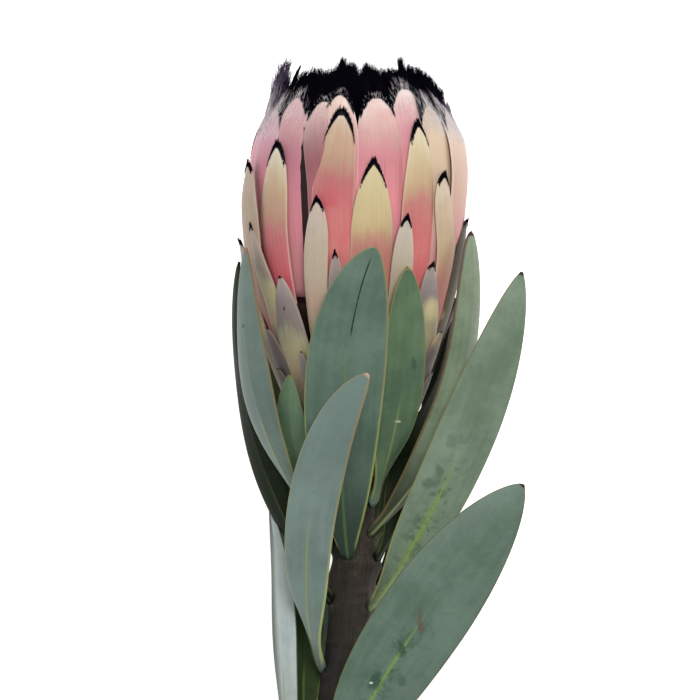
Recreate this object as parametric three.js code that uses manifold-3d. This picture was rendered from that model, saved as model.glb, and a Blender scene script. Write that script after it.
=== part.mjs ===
// A bearded protea flower head on its cut, leafy stem, lying on a flat surface. Millimetres, +Z up.
//
// Everything is laid out in the flower's own frame: the origin is on the axis where the stem meets the head,
// +Y runs along the axis to the top of the head, and +Z points away from the surface that it lies on.
// A turn is an angle round the axis, 0 at +Z and 90 at +X. At the end the whole flower is moved so that the
// middle of its footprint is the origin.
import * as THREE from "three";
import { mergeVertices } from "three/addons/utils/BufferGeometryUtils.js";
import Module from "manifold-3d";

const wasm = await Module();
wasm.setup();

// Driving dimensions of the head.
const HEAD_RADIUS = 35.2;
const WIDEST_AT = 82; // height of the widest place above the head's base
const NECK_RADIUS = 9; // where the head meets the stem
const DOME_HEIGHT = 51; // from the widest place to where the closed dome would meet the axis
const DOME_PUFF = 1.2; // how much wider than an even dome the mouth is
const FLOOR = -33.4; // the surface that the flower lies on, which presses the head's underside flat
const HEAD_SIDES = 24; // flats round each turned body

// The bracts follow one spiral: bract 0 is the highest of the cream ones, and numbers grow downwards.
const SPIRAL_TURN = 137.1;
const FIRST_TURN = -8.6;
const FIRST_TIP = 114;
const TIP_STEP = 2.05;
const INNER_RISE = 6; // how much higher than bract 0 the innermost tips stand
const LAYER_STEP = 0.1; // how much deeper each bract lies than the next one of the spiral
const INNER_LAYER_STEP = 0.05;
const BRACT_THICK = 1.1;
const BRACT_EDGE = 0.65;
const SINK = 0.15; // how deep a bract's root lies in its whorl's cup
const WHORL_GAP = 0.6; // between one whorl's bodies and the next, with room for flat facets
const SEAT_GAP = 0.3;
const FACET_ROOM = 0.3; // how far a flat facet can cut inside the round surface that it stands for

// Driving dimensions of the stem and leaves.
const STEM_RADIUS = 7;
const STEM_LENGTH = 118;
const STEM_LEAN = 12; // how far the cut end has wandered sideways from the axis
const STEM_STRAIGHT = 25; // how far below the head the stem is straight
const CUT_SLANT = 3.5; // how much longer one side of the cut end is, as the shears left it
const LEAF_THICK = 0.8;
const LEAF_RIM = 0.6;
const LEAF_FOOT_THICK = 1.7;
const LEAF_FOOT_WIDTH = 4;
const LEAF_POINT_WIDTH = 0.9;
const LEAF_GAP = 0.38; // between the middle of a leaf's foot and the stem

const radians = THREE.MathUtils.degToRad;
const smooth = THREE.MathUtils.smoothstep;

// Solids

// A closed geometry as a manifold-3d solid, with its faces pointing out.
function solid(geometry) {
  const bare = geometry.clone();
  bare.deleteAttribute("normal");
  bare.deleteAttribute("uv");
  const merged = mergeVertices(bare, 1e-4);
  const vertProperties = new Float32Array(merged.attributes.position.array);
  const triVerts = new Uint32Array(merged.index.array);
  const made = new wasm.Manifold(new wasm.Mesh({ numProp: 3, vertProperties, triVerts }));
  if (made.volume() > 0) return made;
  for (let i = 0; i < triVerts.length; i += 3)
    [triVerts[i + 1], triVerts[i + 2]] = [triVerts[i + 2], triVerts[i + 1]];
  return new wasm.Manifold(new wasm.Mesh({ numProp: 3, vertProperties, triVerts }));
}

// A named mesh of a solid.
function piece(name, body, colour, roughness) {
  const mesh = body.getMesh();
  const geometry = new THREE.BufferGeometry()
    .setAttribute("position", new THREE.BufferAttribute(mesh.vertProperties, 3))
    .setIndex(new THREE.BufferAttribute(mesh.triVerts, 1));
  geometry.computeVertexNormals();
  const material = new THREE.MeshStandardMaterial({ color: colour, roughness, metalness: 0 });
  const made = new THREE.Mesh(geometry, material);
  made.name = name;
  return made;
}

const joined = (bodies) => bodies.reduce((all, body) => all.add(body));

// Bodies made one, with any sealed pocket between them filled.
function fused(bodies) {
  return joined(joined(bodies).decompose().filter((shell) => shell.volume() > 0));
}

// A solid from its points and triangles.
function solidOf(points, index) {
  const position = new THREE.BufferAttribute(new Float32Array(points.flat()), 3);
  return solid(new THREE.BufferGeometry().setAttribute("position", position).setIndex(index));
}

// A solid skinned over rings of points, closed by one point before the first ring and one after the last.
function lofted(rings, first, last) {
  const sides = rings[0].length;
  const [foot, top] = [rings.length * sides, rings.length * sides + 1];
  const index = [];
  for (let j = 0; j < sides; j++) {
    const n = (j + 1) % sides;
    index.push(foot, n, j, top, foot - sides + j, foot - sides + n);
    for (let i = 0; i + 1 < rings.length; i++) {
      const [a, b, c, d] = [i * sides + j, i * sides + n, (i + 1) * sides + n, (i + 1) * sides + j];
      index.push(a, b, c, a, c, d);
    }
  }
  return solidOf([...rings.flat(), first, last], index);
}

// A closed blade from two functions of t along it, 0 to 1, and s across it, -1 to 1. Both faces are split into
// the same triangles.
function blade(along, across, outer, inner) {
  const points = [];
  for (const face of [outer, inner])
    for (let i = 0; i <= along; i++)
      for (let j = 0; j <= across; j++) points.push(face(i / along, (2 * j) / across - 1));
  const row = across + 1;
  const layer = (along + 1) * row;
  const index = [];
  const rim = (p, q) => index.push(q, p, p + layer, q, p + layer, q + layer);
  for (let i = 0; i < along; i++)
    for (let j = 0; j < across; j++) {
      const [a, b, c, d] = [i * row + j, i * row + j + 1, (i + 1) * row + j + 1, (i + 1) * row + j];
      index.push(a, b, c, a, c, d);
      index.push(a + layer, c + layer, b + layer, a + layer, d + layer, c + layer);
      if (i === 0) rim(a, b);
      if (i === along - 1) rim(c, d);
      if (j === 0) rim(d, a);
      if (j === across - 1) rim(b, c);
    }
  return solidOf(points, index);
}

// A solid of revolution round the flower's axis, from a closed list of [radius, height].
function turned(profile) {
  return solid(new THREE.LatheGeometry(profile.map(([r, h]) => new THREE.Vector2(r, h)), HEAD_SIDES));
}

// A point at a radius, a turn round the flower's axis and a height.
const aroundAxis = (radius, turn, height) => [
  radius * Math.sin(turn), height, radius * Math.cos(turn),
];

// The head

// Outer radius of the head at a height above its base.
function headRadius(height) {
  const [bowlFullness, domeFullness] = [0.78, 2.2];
  if (height > WIDEST_AT) {
    const share = Math.min(1, (height - WIDEST_AT) / DOME_HEIGHT);
    return (HEAD_RADIUS + DOME_PUFF * smooth(share, 0, 0.5)) * Math.sqrt(1 - share ** domeFullness);
  }
  const share = Math.max(0, height) / WIDEST_AT;
  return NECK_RADIUS + (HEAD_RADIUS - NECK_RADIUS) * Math.sin((Math.PI / 2) * share) ** bowlFullness;
}

// The whorls that the bracts are grouped in, from the mouth of the head outwards: their first and last bract,
// the heights of the cup that they grow out of and of the free blades' roots, and how many whorls cover them.
const INNER = { first: -18, last: -1, cup: [22.3, 86], root: 78, covers: 2, cuts: 4 };
const MIDDLE = { first: 0, last: 16, cup: [12.3, 54], root: 44, covers: 1, cuts: 5 };
const OUTER = { first: 17, last: 47, cup: [3.3, 42], root: 30, covers: 0, cuts: 4 };

// The heights where each whorl's tips end, so that the whorls inside it come out to the head's full radius.
const OUTER_TIPS = [66, 84];
const MIDDLE_TIPS = [96, 114];

// Bracts that stray from the rule, as in every grown head: [degrees of turn, mm of tip height].
const STRAYS = {
  [-13]: [6.5, 0], [-10]: [0, -2.5], [-5]: [-32.4, 0], 0: [1.5, 0.6], 3: [-4.3, 3], 5: [-2.8, 0.8],
  8: [2, 1.6], 10: [10, 5], 11: [-7.6, 3.5], 13: [7.5, 0], 16: [3.5, 1], 19: [0, 6], 23: [5, 8],
  24: [2.7, 2.6], 26: [2, 1.6], 31: [16, -4], 32: [5, -3], 34: [-7.8, -5], 40: [-8, 1],
};
// Bracts whose width strays from the rule.
const WIDTHS = { 3: 14, 8: 13.8, 11: 11, 13: 8.4, 16: 8, 18: 6.5, 21: 5.4, 24: 8.6, 26: 14, 34: 5, 40: 6 };

function bractTurn(k) {
  return FIRST_TURN + SPIRAL_TURN * k + (STRAYS[k]?.[0] ?? 0);
}

function bractTip(k) {
  const ruled = k < 0 ? INNER_RISE * (1 - Math.exp(k / 8)) : -TIP_STEP * k;
  return FIRST_TIP + ruled + (STRAYS[k]?.[1] ?? 0);
}

const BROAD_BRACTS = 13; // bracts with a lower number than this are the long, broad ones
const SMALL_BRACTS = 26; // and from this number on they get narrower with each one

function bractWidth(k) {
  if (WIDTHS[k]) return WIDTHS[k];
  if (k < 0) return 15.5;
  if (k < BROAD_BRACTS) return 14.8;
  return 11.6 - 0.15 * Math.max(0, k - SMALL_BRACTS);
}

// How far a bract's width has grown at a distance below its tip.
function bractSpread(k, below) {
  const taper = k < BROAD_BRACTS ? 27 : 17;
  return Math.sin((Math.PI / 2) * Math.min(1, below / taper)) ** 0.75;
}

// How deep bract k lies under the head's outer surface. The layers close up towards the neck, and a whorl lies
// deeper than the ones outside it, up to where their tips end.
function bractDepth(k, whorl, height) {
  const tipsAbove = Math.max(0, (FIRST_TIP - height) / TIP_STEP);
  const closing = Math.min(1, (height + 8) / 45);
  const sheath = BRACT_THICK + WHORL_GAP - LAYER_STEP;
  const underOuter = whorl.covers > 0 ? sheath * (1 - smooth(height, ...OUTER_TIPS)) : 0;
  const underMiddle = whorl.covers > 1 ? sheath * (1 - 0.36 * smooth(height, ...MIDDLE_TIPS)) : 0;
  const layers = LAYER_STEP * (tipsAbove - Math.max(0, k)) - INNER_LAYER_STEP * Math.min(0, k);
  return layers * closing + underOuter + underMiddle;
}

// One bract's free blade, which rises out of the cup and thins to its tip and edges.
function bract(k, whorl) {
  const tip = bractTip(k);
  const shortest = 12;
  const root = Math.max(whorl.cup[0], Math.min(whorl.root, tip - shortest));
  const bluntness = 0.35;
  const face = (inwards) => (t, s) => {
    const height = root + (tip - root) * t ** 0.75;
    const radius = headRadius(height);
    const half = (bractWidth(k) / 2) * bractSpread(k, tip - height + bluntness);
    const turn = radians(bractTurn(k)) + (s * half) / radius;
    const thick = BRACT_THICK - (BRACT_THICK - BRACT_EDGE) * smooth(t, 0.55, 1);
    const free = smooth(t, 0, 0.5);
    const sunk = bractDepth(whorl.first, whorl, height) + SINK;
    const back = radius - THREE.MathUtils.lerp(sunk, bractDepth(k, whorl, height), free) - BRACT_THICK;
    if (inwards) return aroundAxis(back + 2 * SINK * (1 - free), turn, height);
    return aroundAxis(back + thick - (thick - BRACT_EDGE) * s * s, turn, height);
  };
  return blade(whorl.cuts, 2, face(false), face(true));
}

// Heights where the nested cups bend, the same in all of them so that they lie evenly within each other.
const CUP_RINGS = [8, 17, 27, 38, 50, 62, 74];

// The sheath that a whorl's bracts share low down, where they press together into one layer.
function cup(whorl) {
  const [low, high] = whorl.cup;
  const apart = 3;
  const heights = [low, ...CUP_RINGS.filter((h) => h > low + apart && h < high - apart), high];
  const back = (height) => headRadius(height) - bractDepth(whorl.first, whorl, height) - BRACT_THICK;
  const outside = heights.map((h) => [back(h) + BRACT_THICK - SINK, h]);
  const inside = heights.map((h) => [back(h), h]).reverse();
  return turned([...outside, ...inside, outside[0]]);
}

function bracts(whorl) {
  const bodies = [cup(whorl)];
  for (let k = whorl.first; k <= whorl.last; k++) bodies.push(bract(k, whorl));
  return fused(bodies);
}

// The radius just inside a whorl's cup, where what it encloses may reach.
function within(whorl, height) {
  const back = headRadius(height) - bractDepth(whorl.first, whorl, height) - BRACT_THICK;
  return back - SEAT_GAP - FACET_ROOM;
}

// The woody base inside the head, stepped where each whorl sits on it.
const RECEPTACLE_TOP = 30;
const RECEPTACLE_FOOT = 6.6; // radius of its flat foot on the stem
function receptacle() {
  const steps = [
    [OUTER, [3, 7.5, MIDDLE.cup[0] - SEAT_GAP]],
    [MIDDLE, [MIDDLE.cup[0] - SEAT_GAP, 17, INNER.cup[0] - SEAT_GAP]],
    [INNER, [INNER.cup[0] - SEAT_GAP, RECEPTACLE_TOP]],
  ];
  const side = steps.flatMap(([whorl, heights]) => heights.map((h) => [within(whorl, h), h]));
  return turned([[0, SEAT_GAP], [RECEPTACLE_FOOT, SEAT_GAP], ...side, [0, RECEPTACLE_TOP]]);
}

// A pointed spike along a bent line, for floret tips and tufts of beard. flat is its depth towards the axis as
// a share of its width.
function spike(foot, middle, tip, { radius, flat }) {
  const sides = 4;
  const curve = new THREE.QuadraticBezierCurve3(
    new THREE.Vector3(...foot), new THREE.Vector3(...middle), new THREE.Vector3(...tip),
  );
  const taper = [[0, 1], [0.4, 0.92], [0.75, 0.55]];
  const rings = taper.map(([t, share]) => {
    const centre = curve.getPoint(t);
    const along = curve.getTangent(t);
    const radial = new THREE.Vector3(centre.x, 0, centre.z).normalize();
    const across = new THREE.Vector3().crossVectors(along, radial).normalize();
    const outwards = new THREE.Vector3().crossVectors(across, along);
    return Array.from({ length: sides }, (_, j) => {
      const a = (2 * Math.PI * j) / sides;
      const p = centre.clone().addScaledVector(across, Math.cos(a) * radius * share);
      return p.addScaledVector(outwards, Math.sin(a) * radius * share * flat).toArray();
    });
  });
  return lofted(rings, foot, tip);
}

// A seeded run of numbers from 0 to 1.
function drawer(seed) {
  let state = seed;
  return () => {
    state = (state * 16807) % 2147483647;
    return state / 2147483647;
  };
}

// The packed florets, whose woolly tips make a low dome in the mouth of the head.
const FLORETS_RIM = 107;
const FLORET_TIPS = 34;
function florets() {
  const heights = [RECEPTACLE_TOP + SEAT_GAP, ...CUP_RINGS.slice(3), 84, 92, 98, 103, FLORETS_RIM];
  const bladeRoom = (h) => 0.5 * smooth(h, 62, INNER.root);
  const beardRoom = (h) => 3.7 * smooth(h, 98, 103);
  const side = heights.map((h) => [within(INNER, h) - bladeRoom(h) - beardRoom(h), h]);
  const rim = side[side.length - 1][0];
  const domeRise = 4;
  const dome = [[rim * 0.6, FLORETS_RIM + 0.75 * domeRise], [0, FLORETS_RIM + domeRise]];
  const bodies = [turned([[0, heights[0]], ...side, ...dome])];
  const draw = drawer(11);
  for (let n = 0; n < FLORET_TIPS; n++) {
    const radius = (rim - 3) * Math.sqrt((n + 0.5) / FLORET_TIPS);
    const turn = radians(SPIRAL_TURN * n);
    const base = FLORETS_RIM + domeRise - 3 * (radius / rim) ** 2;
    const lift = 5.5 + 2.5 * draw();
    const lean = 0.82 - 0.1 * draw();
    bodies.push(spike(
      aroundAxis(radius, turn, base - 2), aroundAxis(radius, turn, base + 0.6 * lift),
      aroundAxis(radius * lean, turn, base + lift), { radius: 1.25, flat: 1 },
    ));
  }
  return fused(bodies);
}

// The black beard: a collar inside the mouth, with two rows of tufts that stand up from it and lean inwards.
function beard() {
  const [low, high] = [104, 118];
  const wall = (h) => within(INNER, h) - 2 * FACET_ROOM;
  const collarThick = 2.6;
  const outside = [low, 109, 114, high].map((h) => [wall(h), h]);
  const inside = outside.map(([r, h]) => [r - collarThick, h]).reverse();
  const bodies = [turned([...outside, ...inside, outside[0]])];
  const tuft = { radius: 3.8, flat: 0.45 };
  const tuftRoot = 113.5;
  const rows = [
    { count: 17, foot: wall(tuftRoot) - 2.8, belly: 19.4, tip: 19.6, top: 129, offset: 0 },
    { count: 12, foot: wall(tuftRoot) - 3, belly: 17, tip: 13, top: 128.5, offset: 9 },
  ];
  const draw = drawer(5);
  for (const row of rows)
    for (let n = 0; n < row.count; n++) {
      const turn = radians(row.offset + (360 * (n + 0.25 * (draw() - 0.5))) / row.count);
      const top = row.top + 4 * (draw() - 0.6);
      const reach = row.tip + 2 * (draw() - 0.5);
      bodies.push(spike(
        aroundAxis(row.foot, turn, tuftRoot), aroundAxis(row.belly, turn, 122),
        aroundAxis(reach, turn + 0.12 * (draw() - 0.5), top), tuft,
      ));
    }
  return fused(bodies);
}

// The stem

// Where the stem's middle lies sideways at a height: straight below the head, then leaning more and more.
function stemMiddle(height) {
  const leaning = STEM_LENGTH - STEM_STRAIGHT;
  return -STEM_LEAN * (Math.max(0, -height - STEM_STRAIGHT) / leaning) ** 1.5;
}

// The stem thins upwards and flares into the head.
function stemRadius(height) {
  return STEM_RADIUS - 0.4 * smooth(height, -60, -20) + 0.8 * smooth(height, -12, 0);
}

function stem() {
  const sides = 18;
  const cuts = 11;
  const rings = Array.from({ length: cuts + 1 }, (_, i) => {
    const height = -STEM_LENGTH * (1 - i / cuts);
    return Array.from({ length: sides }, (_, j) => {
      const turn = (-2 * Math.PI * j) / sides;
      const slanted = 1 - smooth(height, -STEM_LENGTH, -STEM_LENGTH + 20);
      const [x, y, z] = aroundAxis(stemRadius(height), turn, height + CUT_SLANT * Math.sin(turn) * slanted);
      return [x + stemMiddle(height), y, z];
    });
  });
  return lofted(rings, [stemMiddle(-STEM_LENGTH), -STEM_LENGTH, 0], [0, 0, 0]);
}

// The leaves

// Each leaf grows from the stem at a height and turn, and follows a curve through two guides to its tip.
// face is the way its outer side looks at the tip, lowFace the way it looks low down where that differs,
// base is how slowly it widens from its foot where that differs, and cup is how much its edges bend back.
const [BLUE_GREEN, PALE, GREEN, DARK] = [0x5f7568, 0x829290, 0x56704f, 0x25331f];
const LEAVES = [
  { name: "leaf_front_long", foot: [-24, -12], guides: [[-4.6, -3.7, 20], [-6.1, 45.4, 37]],
    tip: [7.7, 72, 38], width: 24.5, face: [0.05, 0, 1], base: 0.8, cup: 0.1, colour: BLUE_GREEN },
  { name: "leaf_front_curved", foot: [-59, -62], guides: [[-18, -40, 13], [-16.6, 9.8, 37]],
    tip: [6.3, 32.3, 42], width: 15.8, face: [-0.25, 0, 1], base: 0.65, cup: 0.12, colour: PALE },
  { name: "leaf_front_green", foot: [-7.8, 48], guides: [[12, 10, 16], [18, 30, 27]], tip: [17.2, 65.7, 32.5],
    width: 15.5, face: [0.45, 0, 1], cup: 0.1, colour: GREEN },
  { name: "leaf_front_short", foot: [-16, -50], guides: [[-14, -4, 6], [-21, 10, 14]], tip: [-19.7, 32, 21],
    width: 9.5, face: [-0.6, 0, 1], cup: 0.15, colour: GREEN },
  { name: "leaf_left_pale", foot: [-20, -70], guides: [[-27.5, 7, 15.5], [-36.3, 28, 18]],
    tip: [-33.1, 71.2, 17.5], width: 18.4, face: [-0.8, 0, 0.62], base: 1.5, cup: 0.2, colour: PALE },
  { name: "leaf_left_dark", foot: [-38, -52], guides: [[-11.5, -29, 4], [-46, 18.5, -3]], tip: [-36.2, 67, 1],
    width: 14, face: [-1, 0, -0.1], lowFace: [-0.75, 0, 0.66], cup: 0.15, colour: DARK },
  { name: "leaf_right_narrow", foot: [-17, 44], guides: [[16, -2, 8.5], [37, 24, 17]], tip: [37.4, 76.3, 12],
    width: 16, face: [1, 0, 0.6], cup: 0.25, colour: GREEN },
  { name: "leaf_right_upper", foot: [-40, 50], guides: [[18, -24.5, 15], [41.3, 15.8, 27]],
    tip: [52.1, 63.6, 18], width: 19, face: [0.3, 0, 1], base: 0.8, cup: 0.14, colour: BLUE_GREEN },
  { name: "leaf_right_lower", foot: [-90, 32], guides: [[-3.7, -74.8, 24], [27.3, -33, 33]],
    tip: [52.2, -1.7, 24], width: 27.2, face: [0.12, 0, 1], base: 0.75, cup: 0.08, colour: BLUE_GREEN },
  { name: "leaf_low_left_pale", foot: [-97, -85], guides: [[-23, -78, 2], [-20, -45, 6]], tip: [-25, -15, -4],
    width: 12, face: [-0.75, 0, 0.7], cup: 0.25, colour: PALE },
  { name: "leaf_low_left_dark", foot: [-88, -78], guides: [[-16, -74, 0], [-16, -48, -2]], tip: [-14, -22, -3],
    width: 10, face: [-0.2, 0, 1], cup: 0.12, colour: DARK },
  { name: "leaf_right_inner", foot: [-25, 66], guides: [[15, -14, 4], [27, 6, -5]], tip: [32, 40, -3],
    width: 15, face: [1, 0, 0], lowFace: [0.3, 0, 1], cup: 0.1, colour: DARK },
  { name: "leaf_right_hidden", foot: [-33, 120], guides: [[15, -20, -14], [29, 4, -22]], tip: [26, 48, -21],
    width: 15, face: [1, 0, -0.8], cup: 0.1, colour: DARK },
  { name: "leaf_back_right", foot: [-27, 150], guides: [[8, -14, -16], [14, 12, -29]], tip: [12, 54, -32],
    width: 14, face: [0.3, 0, -1], cup: 0.08, colour: GREEN },
  { name: "leaf_back_middle", foot: [-10, 178], guides: [[1, 6, -15], [-1, 24, -29]], tip: [-3, 52, -33],
    width: 13, face: [-0.05, 0, -1], cup: 0.08, colour: GREEN },
  { name: "leaf_back_left", foot: [-22, -138], guides: [[-13, -8, -13], [-22, 18, -25]], tip: [-20, 54, -27.5],
    width: 17, face: [-0.6, 0, -1], cup: 0.1, colour: GREEN },
  { name: "leaf_rest_middle", foot: [-47, 172], guides: [[2, -30, -20], [2, -10, -36]], tip: [6, 20, -38],
    width: 17, face: [0, 0, -1], cup: 0.08, colour: BLUE_GREEN },
  { name: "leaf_rest_left", foot: [-72, -150], guides: [[-12, -54, -20], [-17, -36, -36]], tip: [-19, 2, -40],
    width: 16, face: [0, 0, -1], cup: 0.06, colour: BLUE_GREEN },
  { name: "leaf_rest_right", foot: [-80, 148], guides: [[4, -60, -20], [18, -42, -36]], tip: [27, -4, -40],
    width: 18, face: [0, 0, -1], cup: 0.06, colour: BLUE_GREEN },
];

// Share of a leaf's full width at t along it: a long taper from the foot and a blunt, oval end.
function leafSpread(t, base) {
  const widest = 0.6;
  if (t > widest) return Math.max(0, 1 - ((t - widest) / (1 - widest)) ** 2) ** 0.75;
  return Math.sin((Math.PI / 2) * (t / widest)) ** base;
}

// A leaf that would dip under the surface is pressed up onto it, with a short easing.
function pressed(z) {
  const low = FLOOR + LEAF_THICK / 2;
  const ease = 1.2;
  if (z > low + ease) return z;
  return z < low - ease ? low : low + (z - low + ease) ** 2 / (4 * ease);
}

function leaf({ foot, guides, tip, width, face, lowFace, base = 1.15, cup: bend }) {
  const [height, turn] = foot;
  const outwards = new THREE.Vector3(Math.sin(radians(turn)), 0, Math.cos(radians(turn)));
  const core = new THREE.Vector3(stemMiddle(height), height, 0);
  const leaving = new THREE.Vector3(...guides[0]).sub(core).addScaledVector(outwards, -STEM_RADIUS).normalize();
  const seat = stemRadius(height) + LEAF_GAP + (leaving.y * LEAF_FOOT_THICK) / 2;
  const start = core.addScaledVector(outwards, seat);
  const curve = new THREE.CubicBezierCurve3(
    start, ...guides.map((g) => new THREE.Vector3(...g)), new THREE.Vector3(...tip),
  );
  const looks = new THREE.Vector3(...face).normalize();
  const looksLow = lowFace ? new THREE.Vector3(...lowFace).normalize() : looks;
  const middle = (t, s) => {
    const along = curve.getTangent(t);
    const look = outwards.clone().lerp(looksLow, smooth(t, 0.1, 0.4)).lerp(looks, smooth(t, 0.4, 0.9));
    const across = new THREE.Vector3().crossVectors(along, look).normalize();
    const out = new THREE.Vector3().crossVectors(across, along).normalize();
    const footShare = 1 - smooth(t, 0, 0.22);
    const half = Math.max(LEAF_FOOT_WIDTH * footShare, width * leafSpread(t, base), LEAF_POINT_WIDTH) / 2;
    const p = curve.getPoint(t);
    p.addScaledVector(across, half * s).addScaledVector(out, -bend * half * s * s);
    p.z = pressed(p.z);
    return p;
  };
  const side = (sign) => (t0, s) => {
    const t = 1 - (1 - t0) ** 1.25;
    const step = 1e-3;
    const along = middle(Math.min(1, t + step), s).sub(middle(Math.max(0, t - step), s));
    const across = middle(t, Math.min(1, s + 0.05)).sub(middle(t, Math.max(-1, s - 0.05)));
    const normal = new THREE.Vector3().crossVectors(across, along).normalize();
    const pastFoot = smooth(t, 0, 0.12);
    const footExtra = (LEAF_FOOT_THICK - LEAF_THICK) * (1 - pastFoot);
    const thick = LEAF_THICK + footExtra - (LEAF_THICK - LEAF_RIM) * s * s * pastFoot;
    return middle(t, s).addScaledVector(normal, (sign * thick) / 2).toArray();
  };
  return blade(9, 4, side(1), side(-1));
}

// The whole flower

// A body cut off flat where it would reach below the surface that the flower lies on.
function laid(body) {
  const [width, length, depth] = [200, 400, 20];
  const below = new THREE.BoxGeometry(width, length, depth).translate(0, 0, FLOOR - depth / 2);
  return body.subtract(solid(below));
}

const flower = new THREE.Group();
flower.add(piece("stem", stem(), 0x3a2a20, 0.85));
flower.add(piece("receptacle", receptacle(), 0x8a7350, 0.9));
flower.add(piece("florets", florets(), 0xd9c3b8, 0.95));
flower.add(piece("beard", beard(), 0x0d0a10, 0.9));
flower.add(piece("bracts_inner", bracts(INNER), 0xd98a94, 0.6));
flower.add(piece("bracts_middle", laid(bracts(MIDDLE)), 0xd3b58c, 0.6));
flower.add(piece("bracts_outer", laid(bracts(OUTER)), 0x8d7f78, 0.7));
for (const one of LEAVES) flower.add(piece(one.name, leaf(one), one.colour, 0.55));

const box = new THREE.Box3().setFromObject(flower);
const centre = box.getCenter(new THREE.Vector3());
flower.position.set(-centre.x, -centre.y, -box.min.z);

const part = new THREE.Group();
part.add(flower);
export default part;
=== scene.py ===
"""A cut protea flower on its leafy stem, lying down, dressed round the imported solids.

Lengths are millimetres in the flower's own frame: the origin is on the axis where the stem meets the head, +Y runs
up the axis and +Z points away from the floor. A turn is an angle round the axis, 0 at +Z and 90 degrees at +X.
"""

import logging
import math
from dataclasses import dataclass
from enum import Enum
from typing import Any, Callable, Optional, Sequence, Union

import bpy
import numpy as np
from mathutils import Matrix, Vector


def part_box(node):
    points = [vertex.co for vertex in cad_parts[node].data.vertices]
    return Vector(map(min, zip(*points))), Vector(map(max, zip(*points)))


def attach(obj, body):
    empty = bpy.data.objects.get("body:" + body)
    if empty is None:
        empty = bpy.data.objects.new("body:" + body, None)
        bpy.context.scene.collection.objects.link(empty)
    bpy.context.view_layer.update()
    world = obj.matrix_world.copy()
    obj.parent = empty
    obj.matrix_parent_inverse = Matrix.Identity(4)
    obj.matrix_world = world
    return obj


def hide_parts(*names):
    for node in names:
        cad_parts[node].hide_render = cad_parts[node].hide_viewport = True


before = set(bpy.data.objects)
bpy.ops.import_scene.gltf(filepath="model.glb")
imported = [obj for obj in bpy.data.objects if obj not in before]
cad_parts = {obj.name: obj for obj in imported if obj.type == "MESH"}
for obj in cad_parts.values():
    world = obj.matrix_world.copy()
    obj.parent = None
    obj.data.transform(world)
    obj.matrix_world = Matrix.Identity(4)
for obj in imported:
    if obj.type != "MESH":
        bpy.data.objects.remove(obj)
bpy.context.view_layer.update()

LOG = logging.getLogger("protea")
BODY = "root"
MM = 0.001
FLOOR = -33.4  # the floor's height in the flower's frame
SEAT_GAP = 0.3  # between the head's base and the receptacle
LEAF_GAP = 0.38  # between the stem and a leaf's foot
STEM_LENGTH = 118.0

# How far above the floor each surface stops where it is pressed onto it, and over what height it bends
BRACT_FACE, BRACT_BACK, CUP_FACE, BRACT_EASE = 0.08, 0.5, 0.6, 0.5
HAIR_FACE, HAIR_EASE = 0.1, 0.3
LEAF_FACE, LEAF_EASE = 0.12, 1.2

Numbers = Union[float, np.ndarray]
Point = tuple[float, float, float]


def smooth(value: Numbers, low: float, high: float) -> np.ndarray:
    """A soft step from 0 at low to 1 at high."""
    share = np.clip((np.asarray(value, float) - low) / (high - low), 0, 1)
    return share * share * (3 - 2 * share)


def lerp(first: Numbers, second: Numbers, share: Numbers) -> np.ndarray:
    """The value between first and second at a share of the way."""
    return first + (second - first) * share


def unit(vectors: np.ndarray) -> np.ndarray:
    """The vectors at length one."""
    return vectors / np.maximum(np.linalg.norm(vectors, axis=-1, keepdims=True), 1e-9)


def around_axis(radius: Numbers, turn: Numbers, height: Numbers) -> np.ndarray:
    """Points at a radius, a turn in radians and a height.

    Args:
        radius: distance from the flower's axis.
        turn: angle round the axis.
        height: distance above the head's base.

    Returns:
        The points, with their coordinates in the last axis.
    """
    radius, turn, height = np.broadcast_arrays(radius, turn, height)
    return np.stack([radius * np.sin(turn), height, radius * np.cos(turn)], axis=-1)


def pressed(points: np.ndarray, clearance: float, ease: float) -> np.ndarray:
    """Points that would dip under the floor, pressed up onto it with a short easing.

    Args:
        points: the points to press.
        clearance: how high above the floor they stop.
        ease: the height over which the bend is eased.

    Returns:
        The pressed points.
    """
    low = FLOOR + clearance
    z = points[..., 2]
    eased = low + np.maximum(z - low + ease, 0) ** 2 / (4 * ease)
    points[..., 2] = np.where(z > low + ease, z, np.where(z < low - ease, low, eased))
    return points


# Shader maths


def _operator(operation: str, reflected: bool = False) -> Callable[["Wire", Union["Wire", float]], "Wire"]:
    """A method of Wire that adds one Math node.

    Args:
        operation: what the node does.
        reflected: whether the wire stands on the right, as in 1 - mask.

    Returns:
        The method.
    """

    def method(self: "Wire", other: Union["Wire", float]) -> "Wire":
        """Joins the two values."""
        pair = {0: other, 1: self} if reflected else {0: self, 1: other}
        return self.painter.node("ShaderNodeMath", {"operation": operation}, pair)

    return method


class Wire:
    """A shader socket that is joined to others with plain arithmetic."""

    def __init__(self, painter: "Painter", socket: bpy.types.NodeSocket) -> None:
        """Keeps the socket and the painter that it belongs to."""
        self.painter, self.socket = painter, socket

    __add__, __radd__ = _operator("ADD"), _operator("ADD", True)
    __sub__, __rsub__ = _operator("SUBTRACT"), _operator("SUBTRACT", True)
    __mul__, __rmul__ = _operator("MULTIPLY"), _operator("MULTIPLY", True)
    __truediv__, __rtruediv__ = _operator("DIVIDE"), _operator("DIVIDE", True)
    least, most = _operator("MAXIMUM"), _operator("MINIMUM")
    fold = _operator("PINGPONG")

    def size(self) -> "Wire":
        """The value without its sign."""
        return self.painter.node("ShaderNodeMath", {"operation": "ABSOLUTE"}, {0: self})


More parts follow.
